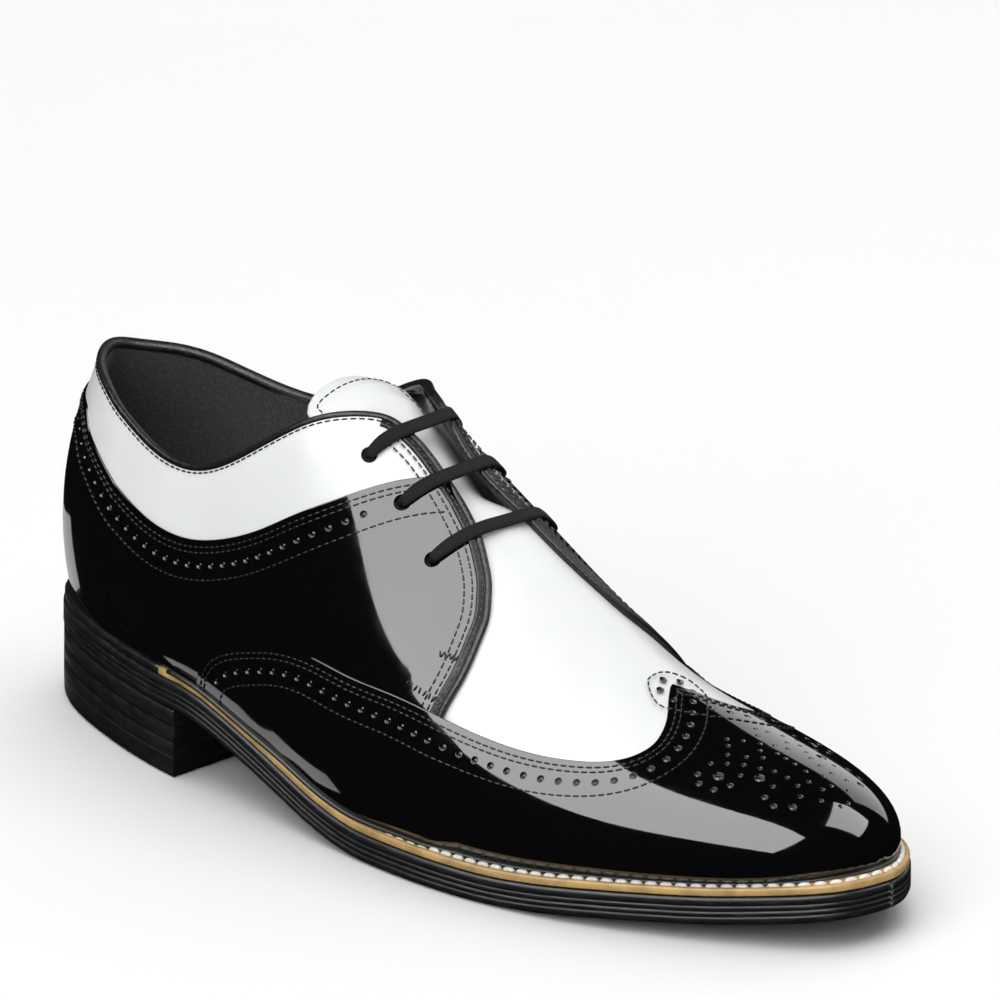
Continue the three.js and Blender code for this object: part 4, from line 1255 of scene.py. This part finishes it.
def foxing_rows():
    """Lines set in from the foxing's top edge: two seams, the holes, one more seam."""
    top = np.concatenate([foxing_line(-1)[::-1], foxing_line(1)[1:]])
    result = []
    for distance in (1.7, 3.2, 6.4, 10.4):
        line = QUARTERS.offset(top, distance)
        result.append(eased_line(line, 8))
    return result


def build_foxing(sizes):
    rows = foxing_rows()
    panel = Leather(QUARTERS, foxing_edge(), foxing_level, spacing=2.4)
    for side in (-1, 1):
        eyelets = EYELETS[side]
        spots = [quarter_spot(side, eyelets["along"][k], eyelets["v"][k]) for k in (0, 1)]
        panel.punch(spots, EYELET_BORE / 2, dish=False, count=24)
    spots = spaced(QUARTERS, rows[2], 5.2, 7)
    ahead = 100 * x_at(np.abs(spots[:, 0]) - 1) / SHOE_LENGTH
    panel.punch(spots[ahead < HOLE_ROW_END], sizes.hole_radius / MM)
    settle(panel.build("foxing_patent", materials()["patent"]), "patent", "upper")


def cap_edge():
    outer = cap_line(-1)
    inner = cap_line(1)
    first = outer[0, 0]
    p = np.linspace(first, 0.9985, 220)
    inner_feather = np.stack([p, np.full_like(p, 2.0)], -1)
    outer_feather = np.stack([p[::-1], np.zeros_like(p)], -1)
    round_tip = np.stack([np.full(9, 0.9985), np.linspace(2, 0, 9)], -1)[1:-1]
    return np.concatenate([outer, inner[::-1][1:], inner_feather[1:], round_tip, outer_feather[:-1]])


def cap_rows():
    """Lines set in from the wing's edge: two seams, the holes, one more seam."""
    outer = cap_line(-1)
    inner = cap_line(1)
    line = np.concatenate([outer, inner[::-1][1:]])
    result = []
    for distance in (1.7, 3.2, 6.4, 10.4):
        moved = FOREPART.offset(line, -distance)
        result.append(moved)
    return result


# The rosette on the toe: radius, then places of its outer half in mm along the ridge from the wing's
# peak and across it; the other half mirrors them about the rosette's middle line
WING_PEAK = 76.0
ROSETTE_MIDDLE = -1.0
ROSETTE = (
    (0.75, (
        (21.6, -6.5), (23.9, -8.6), (26.5, -11.7), (29, -14.6), (34.8, -15.8), (32.5, -11.9), (30.6, -8.8),
        (24.8, -3.7), (25.7, -17.5), (30.9, -3.7), (33.8, -5.7), (36.6, -9.9), (40, -8), (44.1, -12.9),
        (51.6, -9.9), (48.2, -7.5), (44.1, -7.3), (48.8, -3.8), (53, -2.7), (55.9, -6.1), (59.9, -2.5),
    )),
    (0.95, ((32.8, -24.4), (35.3, -20.5), (25.7, -22.9), (28.2, -25.2), (45.2, -17.5), (49, -18))),
    (1.15, ((52.8, -14.3),)),
    (1.6, ((30.6, -20), (39.3, -13.1))),
)
ROSETTE_COLUMN = (28.5, 34.6, 37.6, 40.9, 45)


def rib_spot(along, across):
    """Place on the forepart by true lengths: along the ridge from the wing's peak, then round the rib."""
    start = np.interp(station_of(WING_PEAK), FOREPART.p, FOREPART.a)
    p = np.interp(start + along, FOREPART.a, FOREPART.p)
    t = np.linspace(0, 2, 201)
    rib = FOREPART.point(np.full_like(t, p), t)
    run = np.append(0, np.cumsum(np.linalg.norm(np.diff(rib, axis=0), axis=1)))
    return p, np.interp(across, run - np.interp(1, t, run), t)


def rosette_holes():
    """Radius and chart places of the rosette's holes."""
    result = [(ROSETTE[0][0], [rib_spot(along, ROSETTE_MIDDLE) for along in ROSETTE_COLUMN])]
    for radius, places in ROSETTE:
        for along, across in places:
            result.append((radius, [rib_spot(along, across), rib_spot(along, 2 * ROSETTE_MIDDLE - across)]))
    return result


def build_cap(sizes):
    rows = cap_rows()
    panel = Leather(FOREPART, cap_edge(), cap_level, spacing=2.2)
    panel.punch(spaced(FOREPART, rows[2], 5.2, 9), sizes.hole_radius / MM)
    for radius, spots in rosette_holes():
        panel.punch(spots, radius)
    settle(panel.build("wing_cap_patent", materials()["patent"]), "patent", "upper")


def build_lining():
    """The inner face of the wall, from facing to facing and forward to the toe."""
    points = []
    faces = []
    total = 0
    v = np.linspace(0, 1, 44)
    share = np.linspace(0, 1, 220)
    columns = []
    for side in (-1, 1):
        along = np.interp(v, FACING[side]["v"], FACING[side]["along"])
        columns.append(side * (station_of(along) + 1))
    p = columns[0][:, None] * (1 - share) + columns[1][:, None] * share
    t = np.minimum(v[:, None], topline(p))
    points.append(QUARTERS.raised(p, t, lambda a, b: np.full_like(a, -LINING_DEPTH)).reshape(-1, 3))
    for j in range(len(v) - 1):
        for i in range(len(share) - 1):
            a = j * len(share) + i
            faces.append((a, a + 1, a + len(share) + 1, a + len(share)))
    total = len(points[0])
    t = np.linspace(0, 2, 81)
    share = np.linspace(0, 1, 90)
    height = np.minimum(t, 2 - t)
    back = station_of(np.interp(height, (0, 0.45, 0.6, 0.68, 1), (40, 43, 52, 56, 55.2)))
    p = back[:, None] * (1 - share) + 0.998 * share
    t2 = np.repeat(t[:, None], len(share), 1)
    points.append(FOREPART.raised(p, t2, lambda a, b: np.full_like(a, -LINING_DEPTH - 0.03)).reshape(-1, 3))
    for j in range(len(t) - 1):
        for i in range(len(share) - 1):
            a = total + j * len(share) + i
            faces.append((a, a + len(share), a + len(share) + 1, a + 1))
    piece = make_piece("lining_cloth", np.concatenate(points), faces, materials()["lining"])
    settle(piece, "lining", "upper")


BINDING_PROFILE = (
    (-1.3, 0.02), (-1.0, 0.3), (-0.4, 0.46), (0.15, 0.4), (0.5, 0.1), (0.6, -0.5), (0.5, -1.2), (0.2, -1.9),
    (-0.5, -2.35), (-1.3, -2.45), (-1.8, -2.25),
)
STRIP_PROFILE = (
    (-1.3, -0.05), (-1.5, 0.12), (-2.3, 0.14), (-2.6, 0.4), (-3.0, 0.52), (-3.4, 0.4), (-3.6, 0.1), (-3.7, -0.2),
    (-1.3, -0.2),
)


def edge_path():
    """Outer facing, topline and inner facing in one run, on the quarters' chart."""
    outer = facing_line(-1, 0.43, FACING_TOP[-1])
    inner = facing_line(1, 0.5, FACING_TOP[1])
    p = np.linspace(outer[-1, 0], inner[-1, 0], 240)
    rim = np.stack([p, topline(p)], -1)
    path = np.concatenate([outer, rim[1:-1], inner[::-1]])
    return eased_line(even(path, QUARTERS, 1.0), 10)


def rim_level(p, t):
    """Level of the leather at the rim: foxing below, quarter above."""
    change = np.where(np.asarray(p) > 0, FOXING_END[1], FOXING_END[-1] + 0.01)
    low = smooth(-0.015, 0.015, t - change)
    return FOXING_RISE + (QUARTER_RISE - FOXING_RISE) * low + wrinkled(QUARTERS, p, t)


def edge_strip(name, path, profile):
    """A strip swept along the rim."""
    points = QUARTERS.raised(path[:, 0], path[:, 1], rim_level)
    normals = QUARTERS.normal(path[:, 0], path[:, 1])
    ways = unit(np.gradient(points, axis=0))
    out = unit(np.cross(ways, normals))
    mesh_points, faces = sweep(points, out, normals, profile)
    settle(make_piece(name, mesh_points, faces, materials()["binding"]), "patent", "upper")


def build_binding():
    path = edge_path()
    path[:, 1] = np.minimum(path[:, 1], 1)
    edge_strip("rim_binding", path, BINDING_PROFILE)
    for side, name in ((-1, "facing_strip_outer"), (1, "facing_strip_inner")):
        part = path[path[:, 0] * side > 0]
        front = np.abs(part[:, 0]) - 1 > station_of(43.2)
        edge_strip(name, part[front], STRIP_PROFILE)


TACK = table(("along", "v"), ((58.2, 0.578), (59.2, 0.593), (60.0, 0.605)))
TACK_LOWER = table(("along", "v"), ((56.2, 0.458), (57.8, 0.468), (59.6, 0.48)))


def tack_stitches(radius):
    """The close bar of thread that holds the outer facing's foot, and the slanting one below it."""
    points, ways, ups = [], [], []
    for rows, count, slant in ((TACK, 9, 1.0), (TACK_LOWER, 7, -0.5)):
        along = np.interp(np.linspace(0, 2, count), (0, 1, 2), rows["along"])
        v = np.interp(np.linspace(0, 2, count), (0, 1, 2), rows["v"])
        spots = quarter_spot(-1, along, v)
        centre = QUARTERS.raised(spots[:, 0], spots[:, 1], foxing_level)
        normal = QUARTERS.normal(spots[:, 0], spots[:, 1])
        way = unit(np.gradient(centre, axis=0))
        points.append(centre + normal * radius * 0.5)
        ways.append(unit(np.cross(normal, way) + way * slant * np.where(np.arange(count) % 2, 0.4, -0.4)[:, None]))
        ups.append(normal)
    return tuple(np.concatenate(part) for part in (points, ways, ups))


def build_seams(sizes):
    """Black thread: wing, foxing, topline and facings."""
    length, pitch, radius = (value / MM for value in (sizes.stitch_length, sizes.stitch_pitch, sizes.thread_width))
    radius /= 2
    rows = []
    for line in (cap_rows()[k] for k in (0, 1, 3)):
        rows.append(row_stitches(FOREPART, line, cap_level, length, pitch, radius))
    for line in (foxing_rows()[k] for k in (0, 1, 3)):
        rows.append(row_stitches(QUARTERS, line, foxing_level, length, pitch, radius))
    rim = edge_path()
    for distance in (1.9, 4.6, 6.8):
        line = eased_line(QUARTERS.offset(rim, distance), 4)
        ahead = np.abs(line[:, 0]) - 1 > station_of(44.5)
        parts = [line[ahead & (line[:, 0] * side > 0)] for side in (-1, 1)]
        if distance < 2:
            parts.append(line[~ahead])
        for part in parts:
            rows.append(row_stitches(QUARTERS, part, rim_level, length, pitch, radius))
    rows.append(tack_stitches(radius))
    settle(sew("black_seams", rows, length, radius, materials()["dark_thread"]), "patent")


# Tongue

TONGUE_CENTRE = -7.7
TONGUE = table(("along", "height", "half", "fall"), (
    (34.9, 93.9, 6, 0.3), (35.05, 94.2, 14, 1.2), (35.3, 94.5, 21, 2.4), (35.7, 94.9, 27, 3.8), (36.4, 95.6, 32, 5.2),
    (37.6, 96.7, 35, 6.6), (40.3, 97.6, 33, 8.6), (42.2, 96.2, 31, 8.6), (44.2, 94.4, 30, 8.6),
    (46.9, 90.8, 30, 11), (49.5, 86.4, 30, 12.4), (52.1, 81.9, 30, 11.8), (54.5, 77.3, 29, 11), (57.4, 70.7, 26, 7.5),
))


def tongue_grid(rows, columns):
    """Top face of the tongue: it grows out of the vamp and drops under the facings."""
    share = np.linspace(0, 1, rows)
    along = np.interp(share, np.linspace(0, 1, len(TONGUE["along"])), TONGUE["along"])
    across = np.linspace(-1, 1, columns)
    grid = []
    for value in along:
        x = value / 100 * SHOE_LENGTH
        height, half, fall = (np.interp(value, TONGUE["along"], TONGUE[name]) for name in ("height", "half", "fall"))
        y = (TONGUE_CENTRE + across * half) / 100 * HALF_BALL
        z = feather_height(x) + (height - fall * across**2) / 100 * INSTEP_HEIGHT
        t = np.linspace(0.6, 1.4, 120)
        last = FOREPART.point(np.full_like(t, float(station_at(x))), t)
        surface = np.interp(y, last[:, 1], last[:, 2]) - 0.15
        share_up = smooth(150, 168, x)
        z = z * (1 - share_up) + surface * share_up
        grid.append(np.column_stack([np.full(columns, x), y, z]))
    return np.stack(grid)


def build_tongue(sizes):
    rows, columns = 90, 33
    top = tongue_grid(rows, columns)
    along = np.gradient(top, axis=0)
    across = np.gradient(top, axis=1)
    normal = unit(np.cross(along, across))
    low = top - normal * TONGUE_THICKNESS
    size = rows * columns
    faces = []
    bands = []
    for i in range(rows - 1):
        for j in range(columns - 1):
            a = i * columns + j
            faces.append((a, a + columns, a + columns + 1, a + 1))
            b = a + size
            faces.append((b, b + 1, b + columns + 1, b + columns))
            bands += [0, 1]
    rim = [i * columns for i in range(rows)] + [(rows - 1) * columns + j for j in range(1, columns)]
    rim += [i * columns + columns - 1 for i in range(rows - 2, -1, -1)] + list(range(columns - 2, 0, -1))
    for a, b in zip(rim, rim[1:] + rim[:1]):
        faces.append((a, a + size, b + size, b))
        bands.append(0)
    points = np.concatenate([top.reshape(-1, 3), low.reshape(-1, 3)])
    piece = make_piece("tongue_leather", points, faces, materials()["white"], bands=bands,
                       others=(materials()["lining"],))
    settle(piece, "white_leather", "tongue")
    edge_rows = 28
    line = np.concatenate([top[edge_rows + 26:edge_rows:-1, 3], top[edge_rows, 3:-3], top[edge_rows:edge_rows + 26, -4]])
    up = np.concatenate([normal[edge_rows + 26:edge_rows:-1, 3], normal[edge_rows, 3:-3],
                         normal[edge_rows:edge_rows + 26, -4]])
    line = eased_line(line, 6)
    run = np.append(0, np.cumsum(np.linalg.norm(np.diff(line, axis=0), axis=1)))
    steps = np.arange(0.5, run[-1], sizes.stitch_pitch / MM)
    spots = np.stack([np.interp(steps, run, line[:, k]) for k in range(3)], -1)
    ups = unit(np.stack([np.interp(steps, run, up[:, k]) for k in range(3)], -1))
    radius = sizes.thread_width / MM / 2
    mesh_points, faces = stitch_mesh(spots + ups * 0.1, unit(np.gradient(spots, axis=0)), ups,
                                     sizes.stitch_length / MM, radius)
    settle(make_piece("tongue_seam", mesh_points, faces, materials()["dark_thread"]), "patent")


# Lace

LACE_SLACK = 0.12
LACE_HIDDEN_SLACK = 1.4


def eyelet(side, pair):
    row = EYELETS[side]
    spot = quarter_spot(side, row["along"][pair:pair + 1], row["v"][pair:pair + 1])
    return QUARTERS.point(spot[:, 0], spot[:, 1])[0], QUARTERS.normal(spot[:, 0], spot[:, 1])[0]


def lace_frames(width, thickness):
    """Position, way across and size share of the lace along its whole run."""
    over = FOXING_RISE + LACE_SLACK + thickness / 2
    under = -(LINING_DEPTH + LACE_HIDDEN_SLACK + thickness / 2)
    frames = []

    def add(position, across, size, lean=1.0):
        across = unit(across)
        if frames and np.dot(frames[-1][1], across) < 0:
            across = -across
        frames.append((position, across, size, lean))

    def dive(side, pair, downward):
        centre, normal = eyelet(side, pair)
        other, _ = eyelet(-side, pair)
        bar = unit(other - centre)
        over_wall = bar - normal * np.dot(bar, normal)
        up_wall = unit(over_wall)
        row = np.cross(up_wall, normal)
        steps = ((over, 1.4, 0.82, 0.0), (QUARTER_RISE, 0.0, 0.62, 0.3), (-0.6, 0.0, 0.6, 0.7), (under, 0.0, 0.6, 1.0))
        for level, shift, size, twist in steps if downward else steps[::-1]:
            add(centre + normal * level + over_wall * shift, row * (1 - twist) + up_wall * twist, size)

    def crossing(pair, sides):
        def over_flap(side, share):
            row = EYELETS[side]
            along, height = (
                row[low][pair] * (1 - share) + row[high][pair] * share
                for low, high in (("along", "edge_along"), ("v", "edge"))
            )
            spot = quarter_spot(side, np.array([along]), np.array([height]))
            normal = QUARTERS.normal(spot[:, 0], spot[:, 1])[0]
            return QUARTERS.point(spot[:, 0], spot[:, 1])[0] + normal * over, normal

        start, end = eyelet(sides[0], pair)[0], eyelet(sides[1], pair)[0]
        bar = unit(end - start)
        first = [over_flap(sides[0], share) for share in (0.35, 0.68, 1)]
        second = [over_flap(sides[1], share) for share in (1, 0.68, 0.35)]
        middle = [tuple(first[2][k] * (1 - s) + second[0][k] * s for k in (0, 1)) for s in (0.33, 0.67)]
        for position, normal in first + middle + second:
            add(position, np.cross(bar, normal), 1.0)

    def run_under(side, route):
        for along, v in route:
            spot = quarter_spot(side, np.array([along, along + 0.2]), np.array([v, v]))
            normal = QUARTERS.normal(spot[:, 0], spot[:, 1])[0]
            position = QUARTERS.point(spot[:, 0], spot[:, 1])[0] + normal * under
            add(position, np.cross(unit(route_way(side, route)), normal), 0.78)

    def route_way(side, route):
        ends = quarter_spot(side, np.array([route[0][0], route[-1][0]]), np.array([route[0][1], route[-1][1]]))
        points = QUARTERS.point(ends[:, 0], ends[:, 1])
        return points[1] - points[0]

    run_under(-1, ((44.6, 0.74), (47.3, 0.7), (50, 0.68), (52, 0.69)))
    dive(-1, 0, False)
    crossing(0, (-1, 1))
    dive(1, 0, True)
    run_under(1, ((53.05, 0.744), (51.6, 0.755), (50.15, 0.766)))
    dive(1, 1, False)
    crossing(1, (1, -1))
    dive(-1, 1, True)
    run_under(-1, ((47.1, 0.761), (46.2, 0.755), (45.5, 0.778)))
    dive(-1, 2, False)
    crossing(2, (-1, 1))
    dive(1, 2, True)
    return frames[:-1]


def curve_through(values, steps):
    """A Catmull-Rom curve through rows of values."""
    values = np.asarray(values, float)
    padded = np.concatenate([values[:1], values, values[-1:]])
    t = np.linspace(0, 1, steps, endpoint=False)[:, None]
    parts = []
    for i in range(len(values) - 1):
        p0, p1, p2, p3 = padded[i:i + 4]
        parts.append(0.5 * (2 * p1 + (p2 - p0) * t + (2 * p0 - 5 * p1 + 4 * p2 - p3) * t**2
                            + (3 * p1 - p0 - 3 * p2 + p3) * t**3))
    return np.concatenate(parts + [values[-1:]])


def build_lace(sizes):
    width, thickness = sizes.lace_width / MM, sizes.lace_thickness / MM
    frames = lace_frames(width, thickness)
    path = curve_through([f[0] for f in frames], 6)
    across = unit(curve_through([f[1] for f in frames], 6))
    size = curve_through([[f[2]] for f in frames], 6)
    ways = unit(np.gradient(path, axis=0))
    across = unit(across - ways * (across * ways).sum(-1, keepdims=True))
    up = np.cross(ways, across)
    turns = np.linspace(0, 2 * math.pi, 20, endpoint=False)
    power = 0.5
    profile = np.stack([
        np.sign(np.cos(turns)) * np.abs(np.cos(turns)) ** power * width / 2,
        np.sign(np.sin(turns)) * np.abs(np.sin(turns)) ** power * thickness / 2,
    ], -1)
    sizes_along = np.column_stack([size[:, 0], 1 + (1 - size[:, 0]) * 0.5])
    points, faces = sweep(path, across, up, profile, sizes=sizes_along)
    run = np.append(0, np.cumsum(np.linalg.norm(np.diff(path, axis=0), axis=1)))
    around = np.linspace(0, 2 * (width + thickness) * 0.9, len(profile))
    uv = np.stack([np.repeat(run, len(profile)), np.tile(around, len(run))], -1)
    piece = make_piece("braided_lace", points, faces, materials()["braid"], uv=uv)
    settle(piece, "braid", "lace")


# Stage

VIEW_AZIMUTH = 44.036
VIEW_ELEVATION = 20.04
VIEW_ROLL = 0.413
VIEW_DISTANCE = 10661.0
VIEW_TARGET = np.array([139.96, 4.0, 42.63])
VIEW_SHIFT = (14.53, 40.73)
VIEW_SCALE = 3.6665
FRAME_PIXELS = 1000
SENSOR = 36.0


def view_axes():
    """Right, forward and up of the camera at the photograph's angle."""
    a, e, r = (math.radians(v) for v in (VIEW_AZIMUTH, VIEW_ELEVATION, VIEW_ROLL))
    right = np.array([math.cos(a), math.sin(a), 0])
    forward = np.array([-math.sin(a) * math.cos(e), math.cos(a) * math.cos(e), -math.sin(e)])
    up = np.cross(right, forward)
    return math.cos(r) * right + math.sin(r) * up, forward, -math.sin(r) * right + math.cos(r) * up


def build_camera():
    right, forward, up = view_axes()
    position = VIEW_TARGET - forward * VIEW_DISTANCE
    aim = VIEW_TARGET + right * VIEW_SHIFT[0] + up * VIEW_SHIFT[1]
    look = unit(aim - position)
    right = unit(np.cross(look, up))
    up = np.cross(right, look)
    data = bpy.data.cameras.new("photo_camera")
    data.sensor_width = SENSOR
    data.lens = VIEW_SCALE * VIEW_DISTANCE / FRAME_PIXELS * SENSOR
    data.clip_end = 100
    camera = bpy.data.objects.new("photo_camera", data)
    matrix = Matrix([[right[k], up[k], -look[k], place(position)[k]] for k in range(3)] + [[0, 0, 0, 1]])
    camera.matrix_world = matrix
    bpy.context.scene.collection.objects.link(camera)
    bpy.context.scene.camera = camera


def add_light(name, azimuth, elevation, distance, size, energy, colour=(1, 1, 1), glossy=True, aim=(0.1, 0, 0.05)):
    """A softbox: azimuth counts from the toe's +X to the inner side's +Y."""
    data = bpy.data.lights.new(name, "AREA")
    data.shape = "RECTANGLE"
    data.size, data.size_y = size
    data.energy = energy
    data.color = colour
    light = bpy.data.objects.new(name, data)
    a, e = math.radians(azimuth), math.radians(elevation)
    way = Vector((math.cos(a) * math.cos(e), math.sin(a) * math.cos(e), math.sin(e)))
    light.location = Vector(aim) + way * distance
    light.rotation_euler = way.to_track_quat("Z", "Y").to_euler()
    light.visible_glossy = glossy
    bpy.context.scene.collection.objects.link(light)
    return light


SOFTBOXES = (
    ("quarter_box", -85, 57, 2.0, (3.6, 2.0), 102),
    ("toe_box", 52, 42, 2.0, (1.0, 1.0), 11),
    ("far_strip", 105, 21, 2.0, (1.2, 1.1), 4),
    ("under_band", -160, -31, 1.2, (0.2, 0.1), 0.05),
    ("under_back", 153, -19.5, 1.2, (0.42, 0.08), 0.05),
)
FILLS = (
    ("top_fill", 0, 88, 2.2, (3.0, 3.0), 54),
    ("near_fill", -75, 30, 2.6, (2.6, 2.0), 38),
    ("far_fill", 110, 35, 2.6, (2.6, 2.0), 20),
    ("toe_fill", 5, 25, 2.6, (2.0, 1.6), 8),
    ("heel_fill", 185, 25, 2.6, (2.0, 1.6), 8),
)


def build_stage(studio):
    mesh = bpy.data.meshes.new("studio_floor")
    half = 9.0
    mesh.from_pydata([(-half, -half, 0), (half, -half, 0), (half, half, 0), (-half, half, 0)], [], [(0, 1, 2, 3)])
    mesh.materials.append(floor_finish(studio.floor))
    floor = bpy.data.objects.new("studio_floor", mesh)
    floor.location.z = -0.0002
    floor.visible_glossy = False
    bpy.context.scene.collection.objects.link(floor)
    for name, azimuth, elevation, distance, size, energy in SOFTBOXES:
        box = add_light(name, azimuth, elevation, distance, size, energy * studio.strength)
        box.visible_diffuse = False
    for name, azimuth, elevation, distance, size, energy in FILLS:
        add_light(name, azimuth, elevation, distance, size, energy * studio.strength, glossy=False)
    world = bpy.data.worlds.new("studio_world")
    world.use_nodes = True
    world.node_tree.nodes["Background"].inputs["Color"].default_value = (*studio.world, 1)
    world.node_tree.nodes["Background"].inputs["Strength"].default_value = 1.0
    bpy.context.scene.world = world
    bpy.context.scene.view_settings.view_transform = "Standard"


# Settings


def length(name, description, default):
    return FloatProperty(name=name, description=description, default=default, min=0.0001, unit="LENGTH")


def tint(name, description, default):
    return FloatVectorProperty(name=name, description=description, default=default, subtype="COLOR", size=3,
                               min=0, max=1)


class ShoeSizes(bpy.types.PropertyGroup):
    """Sizes of the fine work."""

    stitch_length: length("Stitch length", "Length of one upper stitch", 0.0019)
    stitch_pitch: length("Stitch pitch", "From one upper stitch to the next", 0.0024)
    thread_width: length("Thread", "Thickness of the upper's thread", 0.00052)
    hole_radius: length("Hole radius", "Radius of the punched holes", 0.00112)
    welt_pitch: length("Welt pitch", "From one welt stitch to the next", 0.0043)
    welt_thread: length("Welt thread", "Thickness of the welt's thread", 0.0017)
    lace_width: length("Lace width", "Width of the flat braid", 0.0040)
    lace_thickness: length("Lace thickness", "Thickness of the flat braid", 0.0011)


class ShoeColours(bpy.types.PropertyGroup):
    """Colours of the leathers, threads and cloth."""

    patent: tint("Patent", "Black patent leather", (0.0022, 0.0022, 0.0028))
    white_leather: tint("White leather", "White leather of vamp, quarters and tongue", (0.83, 0.845, 0.85))
    binding: tint("Binding", "Black binding of topline and facings", (0.004, 0.004, 0.0045))
    lining: tint("Lining", "Black lining", (0.016, 0.018, 0.021))
    sole_edge: tint("Sole edge", "Blackened sole edge and heel", (0.006, 0.0065, 0.008))
    welt: tint("Welt", "Natural golden welt", (0.56, 0.35, 0.12))
    welt_thread: tint("Welt thread", "White thread of the welt", (0.86, 0.85, 0.8))
    welt_lip: tint("Welt lip", "Dark lip between welt and upper", (0.02, 0.02, 0.014))
    black_thread: tint("Black thread", "Thread of the upper's seams", (0.012, 0.012, 0.013))
    lace: tint("Lace", "Black braid", (0.003, 0.003, 0.0035))


class ShoeStudio(bpy.types.PropertyGroup):
    """Floor and light."""

    floor: tint("Floor", "Pale studio floor", (0.9, 0.9, 0.9))
    world: tint("Surround", "What the patent leather sees around the lights", (0.004, 0.004, 0.005))
    strength: FloatProperty(name="Light", description="Strength of all lights", default=1.0, min=0)


# Operators


class SHOE_OT_stage(bpy.types.Operator):
    """Set up camera, floor and lights"""

    bl_idname = "shoe.stage"
    bl_label = "Stage"

    def execute(self, context):
        build_camera()
        build_stage(context.scene.shoe_studio)
        return {"FINISHED"}


class SHOE_OT_sole(bpy.types.Operator):
    """Make the outsole and the heel with their trimmed edges"""

    bl_idname = "shoe.sole"
    bl_label = "Sole and heel"

    def execute(self, context):
        build_sole()
        build_heel()
        return {"FINISHED"}


class SHOE_OT_welt(bpy.types.Operator):
    """Make the welt, its stitches, its lip and the strip at the heel"""

    bl_idname = "shoe.welt"
    bl_label = "Welt"

    def execute(self, context):
        build_welt(context.scene.shoe_sizes)
        build_rand()
        build_lip()
        return {"FINISHED"}


class SHOE_OT_inside(bpy.types.Operator):
    """Make the lining and the insole's sock"""

    bl_idname = "shoe.inside"
    bl_label = "Lining and insole"

    def execute(self, context):
        build_insole()
        build_lining()
        return {"FINISHED"}


class SHOE_OT_white_panels(bpy.types.Operator):
    """Cut the white leather: vamp and quarters"""

    bl_idname = "shoe.white_panels"
    bl_label = "Vamp and quarters"

    def execute(self, context):
        build_vamp()
        build_quarters()
        return {"FINISHED"}


class SHOE_OT_patent_panels(bpy.types.Operator):
    """Cut and punch the patent leather: foxing and wing cap"""

    bl_idname = "shoe.patent_panels"
    bl_label = "Foxing and wing cap"

    def execute(self, context):
        build_foxing(context.scene.shoe_sizes)
        build_cap(context.scene.shoe_sizes)
        return {"FINISHED"}


class SHOE_OT_rim(bpy.types.Operator):
    """Bind the rim and sew the upper's seams"""

    bl_idname = "shoe.rim"
    bl_label = "Binding and seams"

    def execute(self, context):
        build_binding()
        build_seams(context.scene.shoe_sizes)
        return {"FINISHED"}


class SHOE_OT_tongue(bpy.types.Operator):
    """Make the tongue with its seam"""

    bl_idname = "shoe.tongue"
    bl_label = "Tongue"

    def execute(self, context):
        build_tongue(context.scene.shoe_sizes)
        return {"FINISHED"}


class SHOE_OT_lace(bpy.types.Operator):
    """Run the braided lace through the eyelets"""

    bl_idname = "shoe.lace"
    bl_label = "Lace"

    def execute(self, context):
        build_lace(context.scene.shoe_sizes)
        return {"FINISHED"}


OPERATORS = (
    SHOE_OT_stage, SHOE_OT_sole, SHOE_OT_welt, SHOE_OT_inside, SHOE_OT_white_panels, SHOE_OT_patent_panels,
    SHOE_OT_rim, SHOE_OT_tongue, SHOE_OT_lace,
)
SETTINGS = {"shoe_sizes": ShoeSizes, "shoe_colours": ShoeColours, "shoe_studio": ShoeStudio}


class SHOE_PT_panel(bpy.types.Panel):
    """Lists the shoe's steps and settings"""

    bl_label = "Wing-tip shoe"
    bl_idname = "SHOE_PT_panel"
    bl_space_type = "VIEW_3D"
    bl_region_type = "UI"
    bl_category = "Shoe"

    def draw(self, context):
        for operator in OPERATORS:
            self.layout.operator(operator.bl_idname)
        for name, group in SETTINGS.items():
            for key in group.__annotations__:
                self.layout.prop(getattr(context.scene, name), key)


def register():
    for group in SETTINGS.values():
        bpy.utils.register_class(group)
    for name, group in SETTINGS.items():
        setattr(bpy.types.Scene, name, PointerProperty(type=group))
    for operator in OPERATORS:
        bpy.utils.register_class(operator)
    bpy.utils.register_class(SHOE_PT_panel)


def unregister():
    bpy.utils.unregister_class(SHOE_PT_panel)
    for operator in reversed(OPERATORS):
        bpy.utils.unregister_class(operator)
    for name, group in SETTINGS.items():
        delattr(bpy.types.Scene, name)
        bpy.utils.unregister_class(group)


def main():
    register()
    for operator in OPERATORS:
        group, name = operator.bl_idname.split(".")
        getattr(getattr(bpy.ops, group), name)()


if __name__ == "__main__":
    main()
